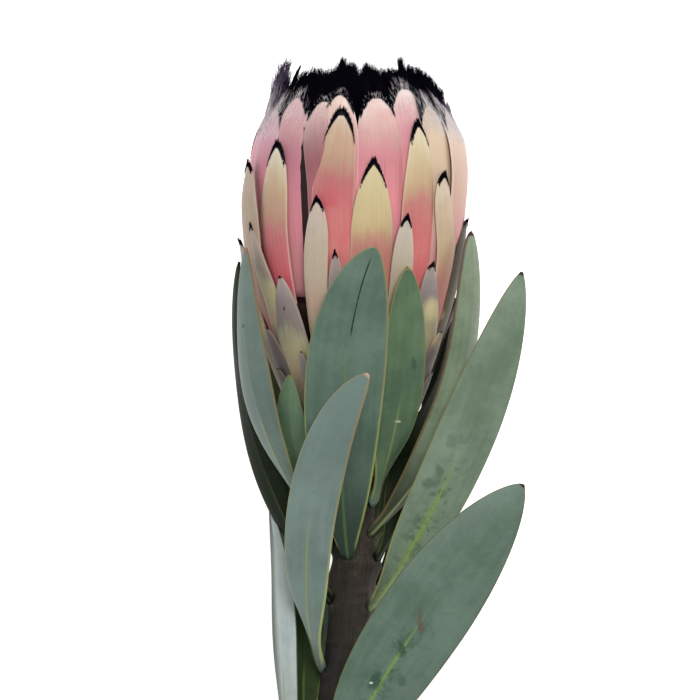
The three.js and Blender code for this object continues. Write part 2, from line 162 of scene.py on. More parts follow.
def colour(text: str) -> tuple[float, float, float, float]:
    """A colour as a shader takes it.

    Args:
        text: the colour as on a screen, such as #c8b99a.

    Returns:
        Linear red, green and blue, and one.
    """
    parts = [int(text[i : i + 2], 16) / 255 for i in (1, 3, 5)]
    red, green, blue = (c / 12.92 if c <= 0.04045 else ((c + 0.055) / 1.055) ** 2.4 for c in parts)
    return red, green, blue, 1.0


Shade = Union[Wire, str]


class Painter:
    """Builds one procedural material."""

    def __init__(self, name: str) -> None:
        """Starts an empty material.

        Args:
            name: the material's name.
        """
        self.material = bpy.data.materials.new(name)
        self.material.use_nodes = True
        self.tree = self.material.node_tree
        self.tree.nodes.clear()

    def node(
        self, kind: str, settings: Optional[dict[str, Any]] = None, inputs: Optional[dict[Any, Any]] = None,
        output: int = 0,
    ) -> Wire:
        """Adds one node.

        Args:
            kind: the node's type.
            settings: its settings, or a ramp's stops.
            inputs: values or wires for its sockets, by number or name.
            output: which output to give back.

        Returns:
            The output as a wire.
        """
        made = self.tree.nodes.new(kind)
        for key, value in (settings or {}).items():
            if key == "stops":
                self._set_stops(made.color_ramp, value)
            else:
                setattr(made, key, value)
        for key, value in (inputs or {}).items():
            if isinstance(value, Wire):
                self.tree.links.new(value.socket, made.inputs[key])
            else:
                made.inputs[key].default_value = colour(value) if isinstance(value, str) else value
        return Wire(self, made.outputs[output])

    @staticmethod
    def _set_stops(ramp: bpy.types.ColorRamp, stops: Sequence[tuple[float, str]]) -> None:
        """Gives a colour ramp its stops.

        Args:
            ramp: the ramp, which has two stops when it is new.
            stops: each stop's place and colour.
        """
        while len(ramp.elements) < len(stops):
            ramp.elements.new(1.0)
        for element, (place, shade) in zip(ramp.elements, stops):
            element.position, element.color = place, colour(shade)

    def mark(self, name: str) -> Wire:
        """A number that the mesh carries at each vertex."""
        return self.node("ShaderNodeAttribute", {"attribute_name": name}, output=2)

    def step(self, value: Wire, low: float, high: float) -> Wire:
        """A soft step from 0 at low to 1 at high."""
        return self.node("ShaderNodeMapRange", {"interpolation_type": "SMOOTHSTEP"}, {0: value, 1: low, 2: high})

    def mix(self, share: Union[Wire, float], first: Shade, second: Shade, blend: str = "MIX") -> Wire:
        """A colour between two others.

        Args:
            share: how much of the second colour there is.
            first: the colour below.
            second: the colour laid over it.
            blend: how they are blended.

        Returns:
            The mixed colour.
        """
        settings = {"data_type": "RGBA", "blend_type": blend}
        return self.node("ShaderNodeMix", settings, {0: share, 6: first, 7: second}, output=2)

    def ramp(self, value: Wire, stops: Sequence[tuple[float, str]]) -> Wire:
        """A colour that changes through stops between 0 and 1."""
        return self.node("ShaderNodeValToRGB", {"stops": stops}, {0: value})

    def place(self, x: Union[Wire, float], y: Union[Wire, float], z: Union[Wire, float]) -> Wire:
        """A point made of three numbers."""
        return self.node("ShaderNodeCombineXYZ", None, {0: x, 1: y, 2: z})

    def object_place(self) -> Wire:
        """The place on the piece, in metres."""
        return self.node("ShaderNodeTexCoord", output=3)

    def noise(self, where: Wire, scale: float, detail: float = 3.0, roughness: float = 0.55) -> Wire:
        """Soft random values round 0.5."""
        inputs = {"Vector": where, "Scale": scale, "Detail": detail, "Roughness": roughness}
        return self.node("ShaderNodeTexNoise", None, inputs)

    def stained(self, base: Wire, where: Wire, rough: Wire, stains: Sequence["Stain"]) -> Wire:
        """The colour with small marks laid over it.

        Args:
            base: the surface's colour.
            where: the place on the piece.
            rough: random values that fray the marks' edges.
            stains: the marks.

        Returns:
            The colour with its marks.
        """
        for stain in stains:
            middle = tuple(PLACE.metres(np.array(stain.place))[0])
            away = self.node("ShaderNodeVectorMath", {"operation": "SUBTRACT"}, {0: where, 1: middle})
            reach = tuple(side * MM for side in stain.reach)
            away = self.node("ShaderNodeVectorMath", {"operation": "DIVIDE"}, {0: away, 1: reach})
            far = self.node("ShaderNodeVectorMath", {"operation": "LENGTH"}, {0: away}, output=1)
            inside = 1 - self.step(far + (rough - 0.5) * stain.fray, 0.35, 1.0)
            base = self.mix(inside * stain.strength, base, stain.shade)
        return base

    def finished(
        self, base: Wire, roughness: Union[Wire, float], height: Optional[Wire] = None, relief: float = 0.1,
        **constants: float,
    ) -> bpy.types.Material:
        """Ends the material.

        Args:
            base: the surface's colour.
            roughness: how matte it is.
            height: what stands out of it, from 0 to 1.
            relief: how far that stands out, in millimetres.
            constants: values for the shader's other sockets, by name.

        Returns:
            The finished material.
        """
        inputs: dict[Any, Any] = {"Base Color": base, "Roughness": roughness}
        if height is not None:
            inputs["Normal"] = self.node("ShaderNodeBump", None, {"Distance": relief * MM, "Height": height})
        inputs.update({key.replace("_", " "): value for key, value in constants.items()})
        shader = self.node("ShaderNodeBsdfPrincipled", None, inputs)
        self.node_output(shader)
        return self.material

    def node_output(self, shader: Wire) -> None:
        """Joins the shader to the material's output."""
        made = self.tree.nodes.new("ShaderNodeOutputMaterial")
        self.tree.links.new(shader.socket, made.inputs["Surface"])


# Finishes


@dataclass(frozen=True)
class Stain:
    """A small mark: its middle and its reach each way, in millimetres in the flower's frame."""

    place: Point
    reach: Point
    shade: str
    strength: float = 0.8
    fray: float = 3.0


@dataclass(frozen=True)
class BractFinish:
    """The skin of one whorl's bracts: colours down from the tip, in shares of each bract's own cream length."""

    name: str
    zones: tuple[tuple[float, str], ...]
    margin: str
    blush: str
    warm: str
    cool: str
    edging: float = 2.2
    reach: float = 4.0
    red_margin: str = "#a8372c"
    line: str = "#9a7f74"
    ink: str = "#0a080d"
    stains: tuple[Stain, ...] = ()

    def material(self) -> bpy.types.Material:
        """The finish as a material.

        Returns:
            The material, which reads the marks that a whorl's bracts carry.
        """
        p = Painter(self.name)
        below, side, edge = p.mark("below"), p.mark("side"), p.mark("edge")
        cream, seed, tint, fringe = p.mark("cream"), p.mark("seed"), p.mark("tint"), p.mark("fringe")
        lines = p.noise(p.place(side * 9.0, below * 0.035, seed * 31.0), 1.0, 4.0, 0.6)
        fine = p.noise(p.place(side * 30.0, below * 0.05, seed * 17.0), 1.0, 2.0)
        cloud = p.noise(p.object_place(), 95.0, 3.0)
        down = (below + (lines - 0.5) * 8.0 + (cloud - 0.5) * 9.0 - side.size() * 2.5) / cream
        base = p.ramp(down / self.reach, [(place / self.reach, shade) for place, shade in self.zones])
        high = 1 - p.step(down, 0.75, 1.15)
        base = p.mix(tint.least(0.0) * (high * 0.6 + 0.2), base, self.warm)
        base = p.mix((tint * -1.0).least(0.0) * (0.35 + high * 0.45), base, self.cool)
        base = p.mix(p.step(cloud + (seed - 0.5) * 0.5, 0.52, 0.8) * 0.35, base, self.blush)
        base = p.mix((1 - p.step(edge, 0.05, 0.7)) * 0.5, base, self.margin)
        red = p.step(tint, 0.85, 0.95) * p.step(side, 0.0, 0.2) * (1 - p.step(edge, 0.35, 0.6))
        base = p.mix(red * 0.85, base, self.red_margin)
        base = p.mix(p.step(fine, 0.3, 0.75) * 0.15, base, "#ffffff", "SOFT_LIGHT")
        base = p.mix(p.step(lines, 0.46, 0.3) * 0.16, base, self.line, "MULTIPLY")
        # Painted shade: the colour is mixed towards black by each bract's share of shade
        base = p.mix(p.mark("painted_shade"), base, "#000000")
        base = p.stained(base, p.object_place(), cloud, self.stains)
        band = (1 - below / fringe) * self.edging
        inked = p.step(band - edge.most(below * 0.75) + (fine - 0.5) * 0.5, -0.15, 0.25) * p.step(band, 0.0, 0.2)
        base = p.mix(inked, base, self.ink)
        return p.finished(
            base, 0.5 + lines * 0.2, lines * 0.6 + fine * 0.4, 0.05, Sheen_Weight=0.08, Sheen_Roughness=0.4,
            Specular_IOR_Level=0.2,
        )


class Wax(Enum):
    """The kinds of leaf surface, by their material slot."""

    BLUE_GREEN = "leaf_blue_green"
    PALE = "leaf_pale"
    GREEN = "leaf_green"
    # Leaves that lie in shadow, painted a near-black green as shade
    DARK = "leaf_dark"


@dataclass(frozen=True)
class LeafFinish:
    """The waxy skin of a leaf, with its margin, rib, veins and stains, and painted shade towards its foot and down one
    side.

    Reaches and the ends of the crease are shares of its length. The widths of its left and right margins, the size
    of its tip and the width of the glow beside its rib are in millimetres.
    """

    light: str
    dark: str
    # foot is the colour of the painted shade towards the foot and down the turned side
    foot: str
    margin_high: str = "#8a6a50"
    margin_low: str = "#a9a368"
    rib: str = "#8f9a62"
    rib_reach: float = 0.55
    tip: str = "#2a1a18"
    tip_size: float = 1.2
    # Where the painted shade towards the foot fades out, and where it starts to fade
    foot_shadow_reach: float = 0.2
    foot_shadow_from: float = 0.0
    # How strongly the right side of the lower half is painted in shade
    side_shadow: float = 0.0
    margins: tuple[float, float] = (0.45, 0.45)
    crease: Optional[tuple[float, float]] = None
    far: Optional[str] = None
    glow: float = 0.0
    mottle: str = "#35503c"
    crease_shade: str = "#171d14"
    gloss: float = 0.3
    stains: tuple[Stain, ...] = ()

    def material(self, name: str) -> bpy.types.Material:
        """The finish as a material.

        Args:
            name: the material's name.

        Returns:
            The material, which reads the marks that a leaf carries.
        """
        p = Painter(name)
        along, across, edge, to_tip = p.mark("along"), p.mark("across"), p.mark("edge"), p.mark("to_tip")
        where = p.object_place()
        cloud, speck = p.noise(where, 45.0, 5.0, 0.65), p.noise(where, 480.0, 4.0, 0.65)
        streak = p.noise(p.place(across * 0.5, along * 3.0, 0.0), 1.0, 3.0)
        blotch = p.noise(where, 190.0, 3.0, 0.7)
        bloom = p.step(cloud * 0.78 + streak * 0.22, 0.36, 0.64)
        base = p.mix(bloom, self.dark, self.light)
        base = p.mix(p.step(speck, 0.52, 0.78) * 0.25, base, self.light)
        base = p.mix(p.step(blotch, 0.56, 0.72) * 0.45, base, self.dark)
        vein = 1 - p.step((along * 34.0 - across.size() * 0.2 + streak * 1.6 + speck * 0.8).fold(0.5), 0.0, 0.12)
        base = p.mix(vein * 0.05, base, self.rib)
        # Painted shade on the right side of the lower half, which turns away from the light
        if self.side_shadow:
            base = p.mix(p.step(across, -1.5, 4.0) * (1 - p.step(along, 0.5, 0.8)) * self.side_shadow, base, self.foot)
        # Painted shade: towards its foot the leaf turns to the foot colour
        base = p.mix((1 - p.step(along, self.foot_shadow_from, self.foot_shadow_reach)) * 0.85, base, self.foot)
        if self.far:
            base = p.mix(p.step(along, 0.45, 0.95) * 0.75, base, self.far)
        if self.glow:
            near = 1 - p.step(across.size() + (speck - 0.5) * 1.5, 0.0, self.glow)
            base = p.mix(near * (1 - p.step(along, 0.3, 0.6)) * 0.6, base, self.rib)
            mottled = (1 - p.step(across.size(), 1.0, 6.5)) * p.step(blotch * 0.6 + speck * 0.4, 0.5, 0.58)
            base = p.mix(mottled * (1 - p.step(along, 0.45, 0.7)) * 0.5, base, self.mottle)
        rib = 1 - p.step(across.size(), 0.1, 0.75 - along * 0.45)
        base = p.mix(rib * (1 - p.step(along, self.rib_reach * 0.8, self.rib_reach)) * 0.75, base, self.rib)
        if self.crease:
            start, end = self.crease
            inside = p.step(along, start, start + 0.03) * (1 - p.step(along, end - 0.03, end))
            broken = inside * (p.step(speck + blotch * 0.5, 0.5, 0.7) * 0.45 + 0.55)
            narrow = 1 - p.step(across.size() + streak * 0.2, 0.2, 0.42)
            base = p.mix(broken * narrow, base, self.crease_shade)
        base = p.stained(base, where, blotch, self.stains)
        margin = p.mix(p.step(along, 0.3, 0.75), self.margin_low, self.margin_high)
        left, right = self.margins
        wide = p.step(across, -0.1, 0.1) * (right - left) + left
        rim = 1 - p.step((edge + (speck - 0.5) * 0.3) / wide, 0.25, 1.0)
        base = p.mix(rim * p.step(along, 0.02, 0.08) * 0.85, base, margin)
        base = p.mix(1 - p.step(to_tip, self.tip_size * 0.5, self.tip_size), base, self.tip)
        height = bloom * 0.2 + speck * 0.3 + vein * 0.3 + streak * 0.2
        return p.finished(base, 0.46 + bloom * 0.14, height, 0.07, Specular_IOR_Level=self.gloss)


@dataclass(frozen=True)
class BarkFinish:
    """Dark bark with fissures, pale flecks and a fresh cut end, and painted shade on its lower part."""

    name: str
    low: str
    high: str
    fleck: str
    wood: str
    fissure_shade: str = "#120d0a"
    ray: str = "#8a6f48"
    # The colour of the painted shade on the lower stem, where the leaves shade it
    low_shadow: str = "#0f0e08"

    def material(self) -> bpy.types.Material:
        """The finish as a material.

        Returns:
            The material, which reads the marks that the stem carries.
        """
        p = Painter(self.name)
        along, turn, cut = p.mark("along"), p.mark("turn"), p.mark("cut")
        where = p.object_place()
        fissure = p.noise(p.place(turn * 7.0, along * 0.06, 3.0), 1.0, 4.0, 0.65)
        cloud, speck = p.noise(where, 120.0, 4.0, 0.6), p.noise(where, 900.0, 2.0)
        base = p.mix(p.step(cloud, 0.35, 0.65), self.low, self.high)
        base = p.mix(p.step(fissure, 0.52, 0.38) * 0.7, base, self.fissure_shade)
        base = p.mix(p.step(speck * 0.5 + cloud * 0.5, 0.56, 0.66) * 0.5, base, self.fleck)
        rays = p.noise(p.place(turn * 12.0, 0.0, 0.0), 1.0, 3.0)
        wood = p.mix(p.step(rays, 0.4, 0.65) * 0.6, self.wood, self.ray)
        # Painted shade: the stem darkens below about 34 mm under the head, in the shadow of the leaves
        base = p.mix((1 - p.step(along, -52.0, -34.0)) * 0.6, base, self.low_shadow)
        base = p.mix(p.step(cut, 0.4, 0.6), base, wood)
        return p.finished(base, 0.78, fissure * 0.7 + speck * 0.3, 0.35)


@dataclass(frozen=True)
class HairFinish:
    """Hair that goes from a dark shade to a pale one by each point's tone."""

    name: str
    shades: tuple[tuple[float, str], ...]
    roughness: float = 0.5

    def material(self) -> bpy.types.Material:
        """The finish as a material.

        Returns:
            The material, which reads each hair's tone.
        """
        p = Painter(self.name)
        tone = p.mark("tone") + (p.noise(p.object_place(), 700.0, 2.0) - 0.5) * 0.14
        return p.finished(p.ramp(tone, self.shades), self.roughness + tone * 0.2, Specular_IOR_Level=0.0)


@dataclass(frozen=True)
class FibreFinish:
    """Coarse plant fibre for what lies inside the head."""

    name: str
    low: str
    high: str

    def material(self) -> bpy.types.Material:
        """The finish as a material.

        Returns:
            The material, the same all over but for its grain.
        """
        p = Painter(self.name)
        where = p.object_place()
        cloud, grain = p.noise(where, 160.0, 4.0), p.noise(where, 1200.0, 3.0, 0.7)
        base = p.mix(p.step(cloud * 0.5 + grain * 0.5, 0.35, 0.65), self.low, self.high)
        return p.finished(base, 0.8, grain, 0.2)


@dataclass(frozen=True)
class FloorFinish:
    """A plain pale floor."""

    name: str = "pale_floor"
    shade: str = "#fbfbfb"
    glow: float = 0.8

    def material(self) -> bpy.types.Material:
        """The finish as a material.

        Returns:
            The material, which glows a little so that the floor stays pale.
        """
        p = Painter(self.name)
        grain = p.noise(p.object_place(), 40.0, 2.0)
        base = p.mix(grain, self.shade, "#ffffff")
        return p.finished(base, 0.9, Emission_Color="#ffffff", Emission_Strength=self.glow, Specular_IOR_Level=0.1)


# Meshes


@dataclass(frozen=True)
class FlowerPlace:
    """Where the flower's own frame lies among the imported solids."""

    origin: np.ndarray

    @classmethod
    def of_receptacle(cls) -> "FlowerPlace":
        """Reads the place off the receptacle, which is even round the axis."""
        low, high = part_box("receptacle")
        return cls(np.array([(low.x + high.x) / 2, low.y - SEAT_GAP * MM, (low.z + high.z) / 2]))

    def metres(self, points: np.ndarray) -> np.ndarray:
        """Points of the flower's frame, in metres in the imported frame."""
        return np.asarray(points, float).reshape(-1, 3) * MM + self.origin


PLACE = FlowerPlace.of_receptacle()


def new_object(name: str, data: Union[bpy.types.Mesh, bpy.types.Light, bpy.types.Camera]) -> bpy.types.Object:
    """A new object that is part of the scene.

    Args:
        name: its name.
        data: its mesh, lamp or camera.

    Returns:
        The object, at the origin.
    """
    made = bpy.data.objects.new(name, data)
    bpy.context.scene.collection.objects.link(made)
    return made


def marked_object(
    name: str, points: list[np.ndarray], edges: list[list[int]], faces: list[list[int]],
    marks: dict[str, list[np.ndarray]],
) -> bpy.types.Object:
    """A new object whose vertices carry numbers.

    Args:
        name: the piece's name.
        points: its vertices in millimetres, in any number of arrays.
        edges: pairs of vertex numbers, where it has no faces.
        faces: rows of vertex numbers.
        marks: a number for each vertex by name, split as the points are.

    Returns:
        The object, at the origin with its place in its mesh.
    """
    mesh = bpy.data.meshes.new(name)
    mesh.from_pydata(PLACE.metres(np.concatenate(points)).tolist(), edges, faces)
    for key, parts in marks.items():
        mesh.attributes.new(key, "FLOAT", "POINT").data.foreach_set("value", np.concatenate(parts))
    return new_object(name, mesh)


class Skin:
    """Faces and the numbers carried by their vertices, gathered into one mesh."""

    def __init__(self) -> None:
        """Starts an empty skin."""
        self.points: list[np.ndarray] = []
        self.faces: list[list[int]] = []
        self.marks: dict[str, list[np.ndarray]] = {}
        self.count = 0

    def add(self, points: np.ndarray, faces: np.ndarray, **marks: Numbers) -> None:
        """Adds a patch.

        Args:
            points: its vertices, in millimetres.
            faces: rows of vertex numbers, three or four to a row.
            marks: a number for each vertex, by name.
        """
        flat = points.reshape(-1, 3)
        self.points.append(flat)
        self.faces.extend((faces + self.count).tolist())
        for key, value in marks.items():
            whole = np.broadcast_to(value, points.shape[:-1]).reshape(-1)
            self.marks.setdefault(key, []).append(np.asarray(whole, float))
        self.count += len(flat)

    def build(self, name: str, material: bpy.types.Material) -> bpy.types.Object:
        """Makes the object.

        Args:
            name: the piece's name.
            material: its finish.

        Returns:
            The object, at the origin with its place in its mesh.
        """
        made = marked_object(name, self.points, [], self.faces, self.marks)
        made.data.shade_smooth()
        made.data.materials.append(material)
        return made


def grid_faces(rows: int, columns: int, closed: bool = False) -> np.ndarray:
    """Quads over a grid of points, facing along columns cross rows.

    Args:
        rows: how many rows of points there are.
        columns: how many points are in a row.
        closed: whether the last column joins the first.

    Returns:
        Rows of four point numbers.
    """
    i = np.arange(rows - 1)[:, None] * columns
    j = np.arange(columns if closed else columns - 1)[None, :]
    n = (j + 1) % columns
    return np.stack([i + j, i + n, i + columns + n, i + columns + j], axis=-1).reshape(-1, 4)


def blade_faces(rows: int, columns: int) -> np.ndarray:
    """Quads round a closed blade whose outer and inner points are two grids, one after the other.

    Args:
        rows: how many rows of points a grid has.
        columns: how many points are in a row.

    Returns:
        Rows of four point numbers.
    """
    outer = grid_faces(rows, columns)
    layer = rows * columns
    corners = np.arange(layer).reshape(rows, columns)
    rims = []
    for line in (corners[0], corners[-1][::-1], corners[::-1, 0], corners[:, -1]):
        rims.append(np.stack([line[1:], line[:-1], line[:-1] + layer, line[1:] + layer], axis=-1))
    return np.concatenate([outer, outer[:, ::-1] + layer, *rims])


def fan_faces(sides: int, first: int, pole: int) -> np.ndarray:
    """Triangles from a closed ring of points to one more point.

    Args:
        sides: how many points the ring has.
        first: the number of its first point.
        pole: the number of the point that they meet in.

    Returns:
        Rows of three point numbers.
    """
    j = np.arange(sides)
    return np.stack([first + j, first + (j + 1) % sides, np.full(sides, pole)], axis=-1)


def settle(piece: bpy.types.Object, slot: str, *nodes: str) -> bpy.types.Object:
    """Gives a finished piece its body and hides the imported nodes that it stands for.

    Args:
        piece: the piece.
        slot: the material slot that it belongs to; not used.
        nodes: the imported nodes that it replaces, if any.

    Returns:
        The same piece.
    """
    if nodes:
        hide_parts(*nodes)
    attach(piece, BODY)
    triangles = sum(len(face.vertices) - 2 for face in piece.data.polygons)
    LOG.info("%s: %d triangles", piece.name, triangles)
    return piece


# Hair


def hair_tree() -> bpy.types.NodeTree:
    """The node tree that makes lines of points into thin pointed hairs.

    Returns:
        The tree, which all pieces of hair share.
    """
    tree = bpy.data.node_groups.new("hair_strands", "GeometryNodeTree")
    for name, kind, way in (
        ("Lines", "NodeSocketGeometry", "INPUT"), ("Sides", "NodeSocketInt", "INPUT"),
        ("Point share", "NodeSocketFloat", "INPUT"), ("Taper", "NodeSocketFloat", "INPUT"),
        ("Finish", "NodeSocketMaterial", "INPUT"), ("Hair", "NodeSocketGeometry", "OUTPUT"),
    ):
        tree.interface.new_socket(name=name, in_out=way, socket_type=kind)

    def add(kind: str, inputs: dict[int, Any], **settings: Any) -> bpy.types.bpy_prop_collection:
        """Adds a node.

        Args:
            kind: the node's type.
            inputs: links or values for its sockets, by number.
            settings: the node's own settings.

        Returns:
            Its outputs.
        """
        made = tree.nodes.new(kind)
        for key, value in settings.items():
            setattr(made, key, value)
        for number, value in inputs.items():
            if isinstance(value, bpy.types.NodeSocket):
                tree.links.new(value, made.inputs[number])
            else:
                made.inputs[number].default_value = value
        return made.outputs

    lines, sides, share, taper, finish = list(add("NodeGroupInput", {}))[:5]
    curve = add("GeometryNodeMeshToCurve", {0: lines})[0]
    reach = add("GeometryNodeSplineParameter", {})[0]
    power = add("ShaderNodeMath", {0: reach, 1: taper}, operation="POWER")[0]
    drop = add("ShaderNodeMath", {0: 1.0, 1: share}, operation="SUBTRACT")[0]
    thin = add("ShaderNodeMath", {0: power, 1: drop}, operation="MULTIPLY")[0]
    left = add("ShaderNodeMath", {0: 1.0, 1: thin}, operation="SUBTRACT")[0]
    thick = add("GeometryNodeInputNamedAttribute", {0: "thick"}, data_type="FLOAT")[0]
    scale = add("ShaderNodeMath", {0: left, 1: thick}, operation="MULTIPLY")[0]
    ring = add("GeometryNodeCurvePrimitiveCircle", {0: sides, 4: MM})[0]
    tube = add("GeometryNodeCurveToMesh", {0: curve, 1: ring, 2: scale})[0]
    real = add("GeometryNodeRealizeInstances", {0: tube})[0]
    dressed = add("GeometryNodeSetMaterial", {0: real, 2: finish})[0]
    add("NodeGroupOutput", {0: dressed})
    return tree


class Strands:
    """Hairs, each a line of points with a thickness and a tone."""

    _tree: Optional[bpy.types.NodeTree] = None

    def __init__(self) -> None:
        """Starts with no hair."""
        self.points: list[np.ndarray] = []
        self.edges: list[np.ndarray] = []
        self.marks: dict[str, list[np.ndarray]] = {"thick": [], "tone": []}
        self.count = 0

    def add(self, lines: np.ndarray, thick: Numbers, tone: Numbers) -> None:
        """Adds hairs.

        Args:
            lines: points by hair and by place along it, in millimetres.
            thick: each hair's radius at its root.
            tone: how pale the hair is, from 0 to 1, by hair and place or in one.
        """
        hairs, steps = lines.shape[:2]
        first = self.count + np.arange(hairs)[:, None] * steps + np.arange(steps - 1)[None, :]
        self.points.append(lines.reshape(-1, 3))
        self.edges.append(np.stack([first, first + 1], axis=-1).reshape(-1, 2))
        thick = np.reshape(np.broadcast_to(thick, (hairs,)), (hairs, 1))
        for key, value in (("thick", thick), ("tone", tone)):
            self.marks[key].append(np.broadcast_to(value, (hairs, steps)).reshape(-1).astype(float))
        self.count += hairs * steps

    def grow(
        self, name: str, material: bpy.types.Material, sides: int = 3, point: float = 0.12, taper: float = 2.0,
    ) -> bpy.types.Object:
        """Makes the hairs into one mesh.

        Args:
            name: the piece's name.
            material: its finish.
            sides: how many sides a hair has.
            point: the share of its thickness that is left at its tip.
            taper: how late it thins.

        Returns:
            The object, with no modifier left on it.
        """
        Strands._tree = Strands._tree or hair_tree()
        made = marked_object(name, self.points, np.concatenate(self.edges).tolist(), [], self.marks)
        modifier = made.modifiers.new("strands", "NODES")
        modifier.node_group = Strands._tree
        given = {"Sides": sides, "Point share": point, "Taper": taper, "Finish": material}
        for socket in Strands._tree.interface.items_tree:
            if socket.name in given:
                modifier[socket.identifier] = given[socket.name]
        ready = made.evaluated_get(bpy.context.evaluated_depsgraph_get())
        final = bpy.data.meshes.new_from_object(ready)
        made.modifiers.remove(modifier)
        made.data = final
        final.name = name
        final.shade_smooth()
        return made


def bezier(points: Sequence[np.ndarray], share: np.ndarray) -> np.ndarray:
    """Places along a smooth line.

    Args:
        points: three or four arrays of guide points, one row for each line.
        share: shares along the lines.

    Returns:
        Points by line and by share.
    """
    guides = [np.asarray(p, float)[..., None, :] for p in points]
    t = np.asarray(share, float)[:, None]
    degree = len(guides) - 1
    return sum(math.comb(degree, i) * (1 - t) ** (degree - i) * t**i * g for i, g in enumerate(guides))


# The head


@dataclass(frozen=True)
class HeadForm:
    """The rounded cup that the bracts follow, and the spiral that places them.

    From one bract to the next the spiral turns by so many degrees, and the tips go down by tip_step. Each lies
    deeper under those above it by layer, or by inner_layer in the inner ring.
    """

    widest: float = 35.2
    widest_at: float = 82.0
    neck: float = 9.0
    dome: float = 51.0
    puff: float = 1.2
    spiral: float = 137.1
    first_turn: float = -8.6
    first_tip: float = 114.0
    tip_step: float = 2.05
    inner_rise: float = 6.0
    layer: float = 0.12
    inner_layer: float = 0.06
    closing_from: float = -8.0
    closing_over: float = 45.0

    def radius(self, height: Numbers) -> np.ndarray:
        """The head's outer radius.

        Args:
            height: distance above the head's base.

        Returns:
            The radius there.
        """
        height = np.asarray(height, float)
        share = np.clip((height - self.widest_at) / self.dome, 0, 1)
        top = (self.widest + self.puff * smooth(share, 0, 0.5)) * np.sqrt(1 - share**2.2)
        low = np.clip(height / self.widest_at, 0, 1)
        bowl = self.neck + (self.widest - self.neck) * np.sin(np.pi / 2 * low) ** 0.78
        return np.where(height > self.widest_at, top, bowl)

    def depth(self, number: int, height: Numbers) -> np.ndarray:
        """How deep a bract lies under the head's outer surface.

        Args:
            number: the bract's number in the spiral.
            height: distance above the head's base.

        Returns:
            The depth there, for the layers of bracts that cover it.
        """
        above = np.maximum(0, (self.first_tip - np.asarray(height, float)) / self.tip_step)
        closing = np.clip((height - self.closing_from) / self.closing_over, 0, 1)
        layers = self.layer * (above - max(0, number)) - self.inner_layer * min(0, number)
        return layers * closing


HEAD = HeadForm()

# What sets single bracts apart from the rule of the spiral, by their numbers

# Degrees round the axis and millimetres up it
STRAYS = {
    -18: (-3, 2.5), -16: (1, 0), -13: (6.5, 0), -10: (-6.6, -1.6), -8: (6.4, 0), -5: (-35, 3), 0: (1.5, 0.6),
    2: (-18, -2), 3: (-4.3, 3), 5: (-1.2, 0.8), 6: (16, -2), 8: (2, 1.6), 10: (10, 5), 11: (-7.0, 3.5), 13: (7.5, 0),
    16: (2.8, 0.6), 18: (-3, 2.3), 19: (5, 6), 23: (9, 8), 24: (2.7, 2.6), 26: (2, 1.6), 31: (16, -4), 32: (5, -3),
    34: (-7.8, -5), 40: (-8, 1),
}
# Full widths
WIDTHS = {
    -18: 19, -16: 14.5, -13: 17.3, -10: 16.5, -8: 15.4, -5: 14.5, -2: 19, 0: 14.6, 3: 14, 5: 14.2, 8: 14.4, 10: 16,
    11: 13.4, 13: 8.4, 16: 8, 18: 8.5, 19: 11.3, 21: 5.4, 23: 15, 24: 14, 26: 17, 34: 5, 40: 6,
}
# How far below the tip the full width is reached
TAPERS = {-13: 21, -5: 20, -2: 16, 3: 31, 5: 30, 8: 25, 18: 22, 21: 14, 24: 34, 26: 34}
# The power that rounds the tip, lower for a blunter one
POINTS = {-13: 0.5, 0: 0.54, 8: 0.72, 18: 0.64, 21: 0.64, 24: 0.64, 26: 0.64}
# Degrees round the axis that it slants away from its tip
LEANS = {-10: 3.5, -8: 5, 0: -4.6, 5: -7, 10: -4, 11: 14, 13: -3.5, 18: 10, 24: 12, 26: -4}
# Millimetres that it stands out, and that its tip bends in
LIFTS = {-15: 1.6, -2: 2.4, -10: 0.8, 10: 1.6, 18: 0.4, 23: 0.4}
NODS = {-11: 4.8, -6: 4.0, -3: 2.0}
# How far below the tip the first colour ends
CREAMS = {-15: 34, -10: 40, -2: 34, 0: 17, 3: 22, 5: 24, 8: 23, 10: 45, 11: 32, 13: 62, 16: 60}
# Painted shade: the share of black mixed into its colour, where it lies in shade
PAINTED_SHADES = {
    -16: 0.22, -13: 0.04, -8: 0.5, -3: 0.1, 0: 0.04, 5: 0.03, 8: 0.05, 10: 0.3, 11: 0.05, 13: 0.05,
    16: 0.18, 19: 0.74, 27: 0.7, 31: 0.45, 32: 0.45, 35: 0.6, 36: 0.5, 39: 0.6, 40: 0.5, 44: 0.6, 47: 0.5,
}
# How warm its colour is, or how cool below 0
TINTS = {
    -16: -0.3, -13: 0.15, -11: -0.6, -10: 1.0, -8: -0.1, -5: 0.3, -3: -0.7, -2: 0.6, 0: -0.1, 3: 0.35, 5: 0.0,
    8: 0.8, 10: -0.15, 11: 0.3, 13: -0.6, 16: -0.3, 19: 0.8, 24: -0.3, 26: -0.2, 34: -1.0,
}
# How far down its margins the black hairs go
FRINGES = {0: 11, 3: 7, 5: 7.5, 8: 8.5, 10: 3, 11: 3.5, 13: 4.2, 16: 3.6}

# Where the groups of the spiral end: broad bracts, cream ones, ones with black tips, with any hair, of even width
BROAD_BRACTS = 13
LAST_CREAM = 16
LAST_BLACK = 24
LAST_FRINGED = 26
SMALL_BRACTS = 26

# How far the black hairs stand over a bract's tip
TIP_HAIRS = 0.9


